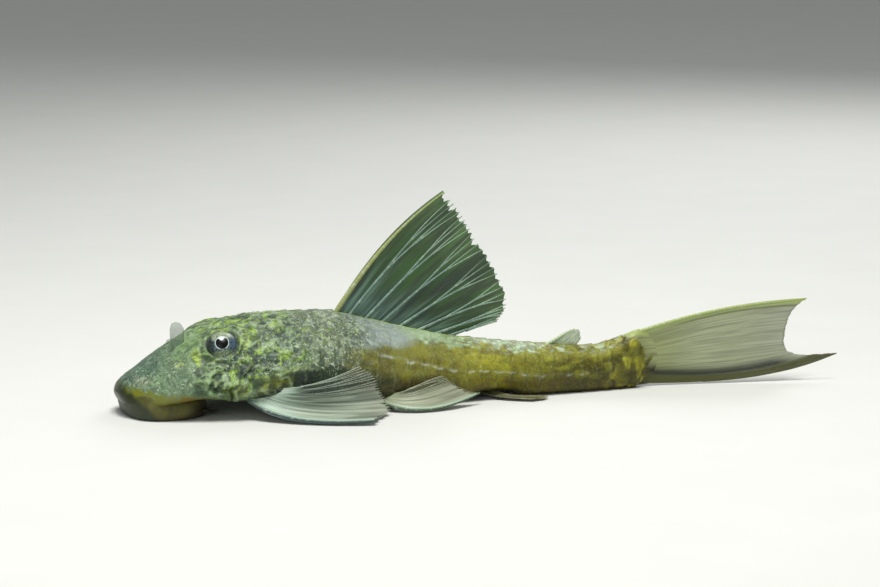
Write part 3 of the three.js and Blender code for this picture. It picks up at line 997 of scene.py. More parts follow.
        eye = np.sqrt((u - EYE_PLACE[0]) ** 2 + (v - EYE_PLACE[1]) ** 2 + (z - EYE_PLACE[2]) ** 2)
        brow = 0.42 * bump(eye, 3.15, 0.42) + 0.35 * bump(eye, 3.6, 1.1) * ramp(9, 13, z)
        socket = bump(eye, self.socket_radius, 0.2)

        side = ramp(7.5, 9.5, v)
        slit = [(21.2, 9.4), (20.2, 8.3), (18.9, 7.1), (18.0, 6.35), (17.3, 5.7), (17.15, 4.9), (17.6, 3.4)]
        ragged = 0.3 * noise(places, 0.9, 9)
        gill, behind = distance_to_line(u + ragged, z - ragged, slit)
        torn = 0.35 + 0.65 * np.maximum(ramp(7.2, 8.0, z), ramp(6.2, 5.4, z))
        opening = bump(gill, 0, 0.27) * side * torn
        cover = ramp(1.5, 0.15, gill) * (behind < 0) * side
        rim = bump(gill, 0.65, 0.4) * (behind > 0) * side * ramp(8.4, 6.6, z)
        shelf = [(12.2, 7.9), (13.2, 7.0), (14.4, 6.3), (15.8, 5.95), (16.8, 6.4), (17.6, 6.6)]
        scallop = 0.22 * np.abs(np.sin(u * 2.3))
        cheek, under = distance_to_line(u, z + scallop + 0.5 * ragged, shelf)
        lip = bump(cheek, 0.35, 0.45) * (under > 0) * side
        pocket = bump(cheek, 0.65, 0.5) * (under < 0) * side * bump(u, 15.6, 2.2)
        swell = 0.45 * bump(u, 14.5, 3.4) * bump(z, 7.6, 1.6) * side
        girdle = 0.35 * bump(z, self.shoulder(u) + 0.4 + 0.4 * ragged, 0.8)
        girdle = girdle * ramp(20, 22, u) * ramp(33, 29, u) * side
        nostril = bump(np.hypot(u - 9.2, v - 2.3), 0, 0.55) * ramp(8, 10, z)

        margin = self.margin(u)
        bare = ramp(0.35, -0.35, z - margin + 0.35 * noise(places, 0.9, 10)) * ramp(18, 14, u)
        bare = np.maximum(bare, ramp(6.8, 4.8, z) * ramp(2.6, 1.0, u + 0.3 * noise(places, 0.9, 10)))
        open_head = ramp(2.85, 3.5, eye) * (1 - bare)
        crags = self.crags(u, v, z)
        rugged = ramp(9, 13, u) * ramp(33, 26, u) * ramp(3.8, 5.5, z) * open_head
        rugged = rugged * (1 - 0.6 * ramp(0.82, 0.94, FORM.share_up(u, z)) * ramp(22, 18, u))
        bony = rugged * (1 + 0.7 * bump(u, 16.5, 8.0) * bump(z, 7.6, 5.0))
        grainy = noise(places, 0.75, 12)
        height = plate + brow - 0.5 * opening + 0.3 * cover + 0.25 * rim + 0.34 * lip - 0.5 * pocket
        height = height + swell + girdle
        height += 0.5 * (crags - 0.4) * bony + 0.05 * grainy * open_head * ramp(3.5, 5, z)
        height += 0.1 * (crags - 0.4) * open_head * ramp(10, 8, u) * ramp(4.6, 6, z)
        height += -0.45 * nostril - 0.12 * socket - 0.12 * bare * ramp(0, 1, u) * ramp(3, 1.5, z)
        # Painted shade in the gill opening, pocket, grooves, eye socket and nostrils, and between the crests.
        hollow_shade = opening + 1.2 * pocket + 0.2 * groove + socket + nostril
        hollow_shade = hollow_shade + 0.7 * ramp(0.3, 0.02, crags) * bony
        # Painted highlight on plate edges, cheek lip, gill rim, crests and girdle.
        line = 0.22 * edge + 1.1 * lip + 0.8 * rim + 0.85 * ramp(0.5, 0.85, crags) * bony + 0.6 * girdle
        return height, np.stack([np.clip(line, 0, 1), np.clip(hollow_shade, 0, 1), bare], axis=1)

    def mottle(self, tone: Array, u: Array, v: Array, z: Array, where: Array) -> Array:
        """Tones with the dark, pale and yellow-green patches of the cheeks and shoulders laid over them.

        Args:
            tone: The tones below.
            u: Distance behind the snout tip.
            v: Distance from the middle, the same on both sides.
            z: Height above the floor.
            where: How strong the patches are at each place, from 0 to 1.

        Returns:
            The new tones.
        """
        places = np.stack([u, v, z * 1.15], axis=1)
        places = warped(places, 1.2, 0.6)
        dark = ramp(0.04, 0.24, noise(places, 1.5, 18))
        pale = ramp(0.22, 0.38, noise(places, 1.1, 19)) * (1 - 0.45 * bump(u, 26, 8))
        lime = ramp(0.22, 0.36, noise(places, 1.6, 20)) * ramp(36, 26, u)
        fades = where * (0.55 + 0.45 * ramp(30, 22, u))
        tone = blend(tone, self.palette.patch_dark, dark * fades * 0.8)
        tone = blend(tone, self.palette.patch_lime, lime * fades * 0.78)
        return blend(tone, self.palette.patch_pale, pale * fades * 0.66)

    def paint(self, u: Array, v: Array, z: Array, row: Array) -> tuple[Array, Array]:
        """Colours of the skin.

        Args:
            u: Distance behind the snout tip.
            v: Distance from the middle, the same on both sides.
            z: Height above the floor.
            row: Not used.

        Returns:
            The tone, and rows of how strong the dark, pale and yellow-green marks are.
        """
        p = self.palette
        places = np.stack([u, v, z], axis=1)
        waver = noise(places, 3.2, 5)
        small = noise(places, 1.3, 6)
        tiny = noise(places, 0.7, 13)
        h = FORM.share_up(u, z) + 0.05 * waver
        uw = u + 1.2 * waver + 0.5 * small
        tone = evenly(p.snout, u)
        above_lips = np.maximum(ramp(0.75, 0.95, h), ramp(3, 1, uw)) * ramp(10, 6, uw)
        tone = blend(tone, p.snout_top, above_lips * 0.7)
        tone = blend(tone, p.crown, ramp(0.62, 0.9, h) * ramp(9, 13, uw) * ramp(21, 17, uw) * 0.8)
        tone = blend(tone, p.cheek, ramp(0.6, 0.4, h) * ramp(8, 12, uw))
        tone = blend(tone, p.shoulder, ramp(17, 21, uw))
        tone = blend(tone, p.gill, ramp(0.62, 0.45, h) * ramp(11, 14, uw) * ramp(23, 20, uw))
        tone = blend(tone, p.nape, ramp(0.55, 0.85, h) * ramp(18, 24, uw))
        tone = blend(tone, p.shoulder, bump(uw, 26, 8) * bump(h, 0.66, 0.3) * 0.8)
        tone = blend(tone, p.flank, ramp(28, 36, uw))
        climb = self.olive_top(u) + 0.03 * small
        olive = ramp(0.05, -0.07, h - climb) * ramp(34, 42, uw)
        tone = blend(tone, p.olive, olive)
        # Painted shade: the lower flank is darkened, as the light from above leaves it.
        tone = blend(tone, p.low, ramp(0.58, 0.34, h) * ramp(27, 34, uw))
        saddle = ramp(-0.04, 0.06, h - climb) * ramp(35, 44, uw) * ramp(53, 49, uw)
        tone = blend(tone, p.saddle, saddle * 0.85)
        above = z - self.shoulder(u)
        # Painted shade in the hollow under the shoulder girdle, where the pectoral fin lies over the body.
        hollow_shade = ramp(0.1, -0.6, above + 0.3 * small) * ramp(19.5, 21.5, uw) * ramp(37, 31, uw)
        hollow_shade = hollow_shade * ramp(2.4, 3.4, z)
        tone = blend(tone, p.axil_shade, hollow_shade * 0.95)
        tone = blend(tone, p.armpit, hollow_shade * ramp(29.0, 26.5, uw) * ramp(-2.6, -1.4, above) * 0.9)
        girdle = bump(above + 0.25 * small, 0.35, 0.5) * ramp(19.5, 21, uw) * ramp(32, 28, uw)
        stem = ramp(54, 61, uw)
        tone = blend(tone, p.gold, stem)
        tone = blend(tone, p.stem_low, ramp(0.46, 0.3, h) * stem)
        tone = blend(tone, p.stem_dark, ramp(66, 82, uw) * ramp(0.9, 0.6, h) * (0.85 - 0.3 * ramp(85, 90, u)))
        # Painted shade along the underside of the stem.
        tone = blend(tone, p.stem_dark, ramp(0.16, 0.06, h) * stem)
        stretched = np.stack([u * 0.8, v, z * 1.6], axis=1)
        brown = ramp(0.05, 0.32, noise(stretched, 2.1, 26))
        tone = blend(tone, p.rust, brown * np.maximum(olive, stem) * 0.5)
        gleam = ramp(0.15, 0.4, noise(stretched, 1.5, 27)) * ramp(0.3, 0.5, h)
        tone = blend(tone, p.bright, gleam * np.maximum(olive * 0.5, stem) * 0.36)
        mint = ramp(-0.03, 0.05, h - climb + 0.07 * tiny) * ramp(48, 53, uw) * ramp(78, 70, uw)
        tone = blend(tone, p.mint, mint * (0.85 + 0.3 * tiny))
        tone = blend(tone, p.gold, ramp(0.7, 0.85, h) * ramp(72, 78, uw) * 0.7)
        # Pale scutes along the top of the stem, with a painted highlight on them.
        dots = ramp(0.12, 0.3, tiny) * bump(h, 0.93, 0.07) * ramp(64, 70, u) * ramp(91, 88, u)
        tone = blend(tone, p.patch_pale, dots * 0.85)
        ridge = bump(v, 0, 0.8) * ramp(0.9, 0.98, h) * ramp(36, 42, uw) * ramp(66, 60, uw)
        tone = blend(tone, p.back_line, ridge * 0.9)
        pitch = (self.plate_end - self.plate_start) / self.plate_count
        beat = np.sin((u - self.plate_start) / pitch * 2 * math.pi)
        dash = ramp(-0.4, 0.8, beat + 1.6 * small)
        line = bump(FORM.share_up(u, z) + 0.02 * small + 0.012 * beat, self.lateral_line(u), 0.016)
        line = line * ramp(41, 46, u) * ramp(88, 78, u)
        tone = blend(tone, p.midline, line * (0.1 + 0.6 * dash))
        blotch = ramp(0.05, 0.3, noise(places, 1.3, 7)) * ramp(85, 88, uw) * ramp(95.5, 94, u)
        tone = blend(tone, p.bright, blotch * 0.8)
        stain = ramp(0.0, 0.3, noise(places, 1.5, 8)) * ramp(86, 89, u) * ramp(96, 94.6, u + small * 0.4)
        tone = blend(tone, p.stem_dark, stain * 0.74)
        border = self.fin_border(z)
        roots = noise(np.stack([u * 0.22, v * 0, z * 3.4], axis=1), 1.0, 25)
        base = blend(evenly(p.fin_base, u), p.fin_web, ramp(93.5, 95.5, u))
        base = blend(base, p.fin_shade, ramp(-0.05, 0.4, roots) * 0.65)
        base = blend(base, p.fin_line, bump(z, 2.7, 1.15) * 0.95)
        base = blend(base, p.fin_keel, ramp(2.5, 2.0, z))
        base = blend(base, p.fin_edge, ramp(9.1, 9.5, z))
        tone = blend(tone, base, ramp(-0.3, 0.5, u - border + 1.1 * small + 0.9 * tiny))
        margin = self.margin(u)
        bare = ramp(0.45, -0.45, z - margin + 0.5 * tiny) * ramp(18, 15, u)
        tone = blend(tone, p.jaw, bare * (0.9 + 0.25 * small))
        tone = blend(tone, p.jaw_low, bare * ramp(3.9, 2.2, z + 0.4 * tiny))
        tone = blend(tone, p.jaw_rear, bare * bump(u, 11.0, 3.0) * ramp(4.8, 3.8, z + 0.4 * tiny) * 0.7)
        # Dark olive of the bare snout front, deepened as painted shade where it faces away from the light,
        # and darker still as painted shade at its foot.
        front = ramp(1.1, -0.9, u - 1.1 - (4.9 - z) * 0.9 + 0.7 * small + 0.3 * tiny) * ramp(7.4, 4.7, z)
        tone = blend(tone, p.shaded_snout_front, front)
        tone = blend(tone, p.snout_low_shade, front * ramp(3.6, 2.4, z))
        mottled = ramp(11, 16, u) * ramp(47, 34, u) * ramp(3.6, 5.0, z) * (1 - bare) * (1 - hollow_shade)
        tone = self.mottle(tone, u, v, z, mottled)
        tone = blend(tone, p.girdle, girdle * (0.75 + 0.5 * small))
        for fleck in self.flecks:
            tone = blend(tone, fleck.tone, fleck.cover(u + 0.5 * small, z + 0.5 * tiny))
        under = ramp(0.12, 0.02, FORM.share_up(u, z)) * ramp(16, 22, u)
        tone = blend(tone, p.belly, under * ramp(62, 56, u) * 0.8)

        head = ramp(24, 17, u)
        rear = ramp(82, 88, u)
        body = ramp(13, 18, u) * ramp(50, 38, u)
        smooth = np.maximum(front, bare)
        dark = np.clip(0.4 * head + 0.8 * body + 0.75 * stem + 0.3, 0, 1) * (1 - 0.85 * smooth)
        dark *= ramp(1.2, -0.6, u - border)
        dark *= (1 - 0.6 * bump(u, 47.0, 5.0) * bump(h, 0.88, 0.14)) * (1 - 0.45 * olive)
        before_fin = ramp(1.0, -0.4, u - border)
        pale = np.clip(0.36 * head + 0.62 * body + 0.2 * (1 - stem) + 0.1, 0, 1)
        pale = pale * (1 - smooth) * ramp(0.15, 0.4, h)
        pale *= (1 - 0.75 * olive) * before_fin * (1 - 0.45 * bump(u, 26, 8) * ramp(0.5, 0.75, h))
        near_eye = bump(u, 19, 6.0) * bump(z, 10, 4.5)
        lime = np.clip(0.15 + 0.75 * near_eye + 0.3 * body * ramp(0.5, 0.8, h) + 0.25 * stem, 0, 1)
        lime = lime * (1 - smooth)
        lime *= (ramp(3.5, 5.5, z) * (1 - 0.7 * stem) + 0.5 * stem) * before_fin * (1 - 0.6 * rear)
        marks = np.stack([dark, pale * (1 - hollow_shade), lime * (1 - hollow_shade)], axis=1)
        return tone, marks

    def build(self, finish: Material) -> Piece:
        """Makes the skin and dresses it.

        Args:
            finish: The skin's material.

        Returns:
            The skin.
        """
        row_u, row_risen, row_size = self.rows()
        column_row, column_bare = self.turns()
        skin, across, length = add_grid(self.name, len(column_row) - 1, len(row_u) - 1)
        i = np.rint(across * (len(column_row) - 1)).astype(int)
        j = np.rint(length * (len(row_u) - 1)).astype(int)
        u, risen, size = row_u[j], row_risen[j], row_size[j]
        row, bare = np.abs(column_row[i]), column_bare[i]
        sign = np.where(column_row[i] < 0, -1.0, 1.0)
        share = row - np.floor(row)
        armoured = ramp(self.plate_start - 2.5, self.plate_start, u)
        armoured = armoured * (1 - ramp(self.plate_end - 0.2, self.plate_end + 1.5, u))
        swept = u + self.plate_sweep * np.sin(math.pi * share) * armoured * (row < self.plate_rows)
        reach = FORM.armour(u)
        turn = np.where(bare > 0, reach + (1 - reach) * bare, row / self.plate_rows * reach)
        v, z = FORM.section(swept, turn, -self.inset)
        height, form = self.relief(swept, v, z, row, risen)
        v, z = FORM.section(swept, turn, height - self.inset)
        tone, marks = self.paint(swept, v, z, row)

        taper = np.clip((swept - self.plate_end) / (self.tail_tip - self.plate_end), 0, 1)
        v = v * (1 - taper) ** 1.6
        lift = (z - self.tail_middle) * (1 - 0.04 * taper)
        z = np.where(taper > 0, self.tail_middle + lift, z)
        rounding = np.clip(np.abs(z - self.tail_middle) / self.tail_half, 0, 1) ** 2
        swept = swept - 0.55 * (swept - self.plate_end) * rounding * (taper > 0)
        v = v * size
        z = self.snout_tip + (z - self.snout_tip) * size
        place_points(skin, lay(swept, sign * v, np.maximum(z, 0.0)))
        store(skin, "tone", tone)
        store(skin, "marks", marks)
        store(skin, "form", form)
        store(skin, "stemward", ramp(50, 62, swept))
        close(skin)
        mount(skin, finish, Slot.SKIN, "head", "trunk", "tail_stem")
        return skin


@dataclass
class MouthDisc:
    """Sucker mouth: a lip ring with low papillae, the jaws in its recess and a feeler at each corner."""

    name: str = "mouth_disc_lips"
    front: Colour = srgb(46, 56, 32)
    side: Colour = srgb(88, 86, 26)
    rear: Colour = srgb(50, 42, 18)
    beneath: Colour = srgb(150, 138, 104)
    at: float = 8.15
    half_length: float = 7.0
    half_width: float = 9.0
    squareness: float = 2.5
    columns: int = 160
    rows: int = 60
    papilla: float = 0.09
    fill: float = 0.05
    radii: Line = along(
        (0, 0.0), (0.2, 0.47), (0.3, 0.56), (0.38, 0.65), (0.6, 0.93), (0.68, 0.985), (0.76, 1.0),
        (0.85, 1.0), (0.91, 0.965), (0.975, 0.8), (1.0, 0.0),
    )
    heights: Line = along(
        (0, 1.05), (0.2, 0.95), (0.3, 0.4), (0.38, 0.06), (0.6, 0.04), (0.68, 0.4), (0.76, 1.1),
        (0.85, 2.1), (0.91, 3.15), (0.975, 4.6), (1.0, 4.6),
    )
    jaw_half: Corner = (0.7, 1.6, 0.58)
    jaw_apart: float = 1.7
    jaw_height: float = 1.0
    feeler_root: Corner = (13.4, 6.6, 1.35)
    feeler_reach: tuple[float, float] = (2.4, 1.5)
    feeler_radius: float = 0.42

    def ring(self, radius: Array, angle: Array) -> tuple[Array, Array]:
        """Place of a polar point of the disc, as u and v.

        Args:
            radius: Share of the disc's size.
            angle: Turn about the disc's middle, 0 at its rear.

        Returns:
            u and v of each point.
        """
        power = self.squareness
        square = (np.abs(np.cos(angle)) ** power + np.abs(np.sin(angle)) ** power) ** (-1 / power)
        u = self.at + self.half_length * radius * square * np.cos(angle)
        return u, -self.half_width * radius * square * np.sin(angle)

    def build(self, finish: Material, inner: Material) -> list[Piece]:
        """Makes the lips, the jaws and the feelers.

        Args:
            finish: The material of the lips and the feelers.
            inner: The jaws' material.

        Returns:
            The pieces.
        """
        lips, across, length = add_grid(self.name, self.columns, self.rows)
        angle = across * 2 * math.pi
        radius, z = self.radii(length), self.heights(length)
        ahead = ramp(0.1, -0.75, np.cos(angle)) * ramp(0.68, 0.92, length) * ramp(1.0, 0.92, length)
        radius = radius + self.fill * ahead
        u, v = self.ring(radius, angle)
        near = cells(np.stack([u, v, z * 0], axis=1), 0.85, 11)
        knob = ramp(0.55, 0.1, near) * ramp(0.25, 0.34, length) * ramp(0.68, 0.6, length)
        z = z + self.papilla * (1 - knob) * ramp(0.25, 0.34, length) * ramp(0.68, 0.6, length)
        place_points(lips, lay(u, v, np.maximum(z, 0.0)))
        waver = noise(np.stack([u, v, z], axis=1), 1.2, 14)
        tone = evenly(self.side, u)
        fine = noise(np.stack([u, v, z], axis=1), 0.5, 24)
        tone = blend(tone, self.front, ramp(-0.1, 0.5, fine + 0.4 * waver) * 0.35)
        tone = blend(tone, self.rear, ramp(9, 14.5, u + waver))
        # Painted shade: the lips are darkened towards the floor.
        tone = blend(tone, self.rear, ramp(1.4, 0.3, z) * 0.6)
        tone = blend(tone, self.beneath, ramp(0.62, 0.5, length))
        # The lips' front takes the dark olive of the snout front, deepened as painted shade where it faces
        # away from the light.
        front = ramp(0.5, -0.5, u - 1.2 - (4.9 - z) * 0.9 + 0.3 * waver)
        store(lips, "tone", blend(tone, self.front, front))
        close(lips, 2e-6)
        mount(lips, finish, Slot.LIP, "mouth_disc")
        pieces = [lips]
        for side in Side:
            for end, shift in (("upper", -1.1), ("lower", 1.1)):
                pieces.append(self.jaw(f"jaw_{end}_{side.word}", self.at + shift, side, inner))
            pieces.append(self.feeler(side, finish))
        return pieces

    def jaw(self, name: str, u: float, side: Side, finish: Material) -> Piece:
        """Makes one jaw pad, a flattened egg in the recess of the lips.

        Args:
            name: Name of the piece.
            u: Distance of its middle behind the snout tip.
            side: Side of the fish.
            finish: Its material.

        Returns:
            The jaw pad.
        """
        deselect()
        bpy.ops.mesh.primitive_uv_sphere_add(segments=28, ring_count=16, radius=1.0)
        pad = bpy.context.object
        pad.name = pad.data.name = name
        p = points_of(pad)
        curl = 0.35 * np.abs(p[:, 1]) ** 2 * (1 if u > self.at else -1)
        long, wide, tall = self.jaw_half
        v = side.value * self.jaw_apart + p[:, 1] * wide
        place_points(pad, lay(u + p[:, 0] * long + curl, v, self.jaw_height + p[:, 2] * tall))
        close(pad)
        mount(pad, finish, Slot.LIP)
        return pad

    def feeler(self, side: Side, finish: Material) -> Piece:
        """Makes the short feeler at one corner of the mouth, thick at its root and bent back.

        Args:
            side: Side of the fish.
            finish: Its material.

        Returns:
            The feeler.
        """
        deselect()
        bpy.ops.mesh.primitive_cylinder_add(vertices=14, radius=1.0, depth=1.0, end_fill_type="TRIFAN")
        feeler = bpy.context.object
        feeler.name = feeler.data.name = f"mouth_feeler_{side.word}"
        cuts = [partial(bpy.ops.mesh.bisect, plane_co=(0, 0, float(cut)), plane_no=(0, 0, 1))
                for cut in np.linspace(-0.42, 0.42, 9)]
        edit(feeler, *cuts)
        p = points_of(feeler)
        share = p[:, 2] + 0.5
        radius = self.feeler_radius * (1 - share**1.8) + 0.06
        root, reach = self.feeler_root, self.feeler_reach
        u = root[0] + reach[0] * share + p[:, 0] * radius
        v = side.value * (root[1] + reach[1] * share + p[:, 1] * radius)
        z = root[2] - 0.5 * np.sin(share * 2.2) * 0.6 + p[:, 1] * radius * 0.2 + p[:, 0] * radius * 0.4
        place_points(feeler, lay(u, v, np.maximum(z, 0.05)))
        close(feeler)
        mount(feeler, finish, Slot.LIP)
        return feeler


@dataclass
class Eye:
    """Eyeball with its pupil turned a little up, sunk into the head."""

    side: Side
    place: Corner = EYE_PLACE
    sunk: float = 0.6
    radius: float = 2.72
    gaze: Corner = (-0.27, 1.0, 0.65)
    pupil: float = 1.12
    notch: float = 0.85

    def build(self, finish: Material) -> Piece:
        """Makes the eyeball and keeps the fields that its material paints from.

        Args:
            finish: The eye's material.

        Returns:
            The eyeball.
        """
        deselect()
        bpy.ops.mesh.primitive_uv_sphere_add(segments=96, ring_count=64, radius=1.0)
        eye = bpy.context.object
        eye.name = eye.data.name = f"eyeball_{self.side.word}"
        p = points_of(eye)
        polar = np.arccos(np.clip(p[:, 2], -1, 1))
        turn = np.arctan2(p[:, 1], p[:, 0])
        opened = math.pi * (polar / math.pi) ** 1.5
        x, y, z = np.sin(opened) * np.cos(turn), np.sin(opened) * np.sin(turn), np.cos(opened)
        sunk = self.sunk if self.side is Side.RIGHT else 0.0
        ahead = Vector((self.gaze[0], self.side.value * self.gaze[1], self.gaze[2])).normalized()
        level = Vector((1.0, 0.0, 0.0)) - ahead * ahead.x
        level.normalize()
        up = ahead.cross(level)
        if up.z < 0:
            up.negate()
        bulge = self.radius * (1 - 0.035 * ramp(0.25, 0.9, z))
        body = [bulge * (x * level[k] + y * up[k] + z * ahead[k]) for k in range(3)]
        centre = (self.place[0], self.side.value * (self.place[1] - sunk / 2), self.place[2] - sunk)
        place_points(eye, lay(centre[0] + body[0], centre[1] + body[1], centre[2] + body[2]))
        radius = np.hypot(x, y) * self.radius + np.where(z < 0, 9.0, 0.0)
        notch = self.notch * bump(x * self.radius, 0, 0.4) * ramp(0.0, 0.5, y * self.radius)
        inside = radius - self.pupil + notch
        store(eye, "eye", np.stack([inside, radius, radius - self.pupil], axis=1))
        store(eye, "iris", np.stack([x, y, z], axis=1) * self.radius)
        close(eye)
        mount(eye, finish, Slot.EYE, f"eye_{self.side.word}")
        return eye


@dataclass
class NoseFlap:
    """Thin skin flap that stands behind a nostril, raised on the left and laid low on the right."""

    side: Side
    u: float = 10.15
    v: float = 2.3
    base: float = 10.4
    rise_left: float = 5.3
    rise_right: float = 1.5
    half_width: float = 1.25
    thickness: float = 0.26
    cup: float = 0.4
    turned_u: float = 0.87
    turned_v: float = 0.5
    foot: Colour = srgb(112, 134, 112)
    tip: Colour = srgb(160, 172, 158)

    def build(self, finish: Material) -> Piece:
        """Makes the flap as a thin rounded tongue, cupped forwards.

        Args:
            finish: The flap's material.

        Returns:
            The flap.
        """
        flap, across, length = add_grid(f"nose_flap_{self.side.word}", 40, 24)
        side_share = 1 - np.abs(1 - 2 * across)
        face = np.where(across < 0.5, 1.0, -1.0)
        x = 2 * side_share - 1
        rise = self.rise_left if self.side is Side.LEFT else self.rise_right
        outline = np.sqrt(np.clip(1 - np.clip((length - 0.68) / 0.32, 0, 1) ** 2, 0, 1))
        half = self.half_width * (1 - 0.12 * ramp(0.5, 0.0, length)) * outline
        edge = np.sqrt(np.clip(1 - x**2, 0, 1)) * np.sqrt(np.clip(1 - length**6, 0, 1)) * (length > 0)
        thick = self.thickness * 0.5 * edge * face
        lean = thick + self.cup * (x * outline) ** 2 - 0.25 * length
        u = self.u + x * half * self.turned_u + lean * self.turned_v
        v = self.side.value * (self.v + x * half * self.turned_v - lean * self.turned_u)
        z = self.base + rise * length
        place_points(flap, lay(u, v, z))
        web = np.stack([side_share, length, 0.42 + 0.5 * ramp(0.5, 0.1, length)], axis=1)
        store(flap, "web", web)
        store(flap, "tone", blend(evenly(self.foot, x), self.tip, ramp(0.45, 0.95, length)))
        close(flap, 2e-6)
        mount(flap, finish, Slot.SKIN)
        return flap


def path(*corners: Corner) -> Callable[[Array], Array]:
    """Smooth path through points of the straight fish, by share from 0 to 1.

    Args:
        corners: The points, each as u, v and z.

    Returns:
        A function that gives one row of u, v and z for each share.
    """
    points = np.array(corners, float)
    last = len(points) - 1

    def curve(share: Array) -> Array:
        """Places on the path, one row for each share."""
        at = np.clip(np.asarray(share, float), 0, 1) * last
        k = np.minimum(np.floor(at).astype(int), last - 1)
        s = (at - k)[:, None]
        p1, p2 = points[k], points[k + 1]
        ahead, beyond = 2 * points[0] - points[1], 2 * points[last] - points[last - 1]
        p0 = np.where((k > 0)[:, None], points[np.maximum(k - 1, 0)], ahead)
        p3 = np.where((k + 2 <= last)[:, None], points[np.minimum(k + 2, last)], beyond)
        steps = [np.linalg.norm(b - a, axis=1)[:, None] ** 0.5 for a, b in ((p0, p1), (p1, p2), (p2, p3))]
        first = ((p1 - p0) / steps[0] - (p2 - p0) / (steps[0] + steps[1]) + (p2 - p1) / steps[1]) * steps[1]
        second = ((p2 - p1) / steps[1] - (p3 - p1) / (steps[1] + steps[2]) + (p3 - p2) / steps[2]) * steps[1]
        rise = p2 - p1
        return p1 + first * s + (3 * rise - 2 * first - second) * s**2 + (first + second - 2 * rise) * s**3

    return curve


def along_back(start: float, end: float, depth: float) -> Callable[[Array], Array]:
    """Root line along the back, sunk into it by depth.

    Args:
        start: Where the line starts behind the snout tip.
        end: Where it ends.
        depth: How far it lies below the back.

    Returns:
        A function that gives one row of u, v and z for each share.
    """

    def curve(share: Array) -> Array:
        """Places on the line, one row for each share."""
        u = start + (end - start) * np.clip(np.asarray(share, float), 0, 1)
        return np.stack([u, u * 0, FORM.back(u) - depth], axis=1)

    return curve


STRAIGHT: Bow = ((0.0, 0.0, 0.0),) * 3


def bow(vectors: Bow, share: Array) -> Array:
    """Vector that passes through the three given ones as share goes from 0 to 1."""
    weights = [(1 - share) * (1 - 2 * share), 4 * share * (1 - share), share * (2 * share - 1)]
    return sum(np.outer(weight, vector) for weight, vector in zip(weights, vectors))


@dataclass(frozen=True)
class FinPaint:
    """Colours of one fin and how much its membrane covers."""

    root: Colour
    web: Colour
    margin: Colour
    ray: Colour
    ray_tip: Colour
    spine: Colour
    # On the pectoral and pelvic fins first_edge is painted shade and first_line a painted highlight along the
    # spine.
    first_edge: Colour | None = None
    first_line: Colour | None = None
    last_edge: Colour | None = None
    last_line: Colour | None = None
    first_wide: float = 0.4
    last_wide: float = 1.5
    cover_root: float = 0.9
    cover_margin: float = 0.7
    # clear makes the membrane clearer and darkens it with painted shade.
    clear: float = 0.0
    clear_from: float = 0.45
    gap_end: float = 0.5
    gap_from: float = -0.2
    # stain sets the fin's dark blotches and also the painted shade beside the rays.
    stain: float = 0.4
    stain_and_shade_colour: Colour = srgb(30, 44, 38)


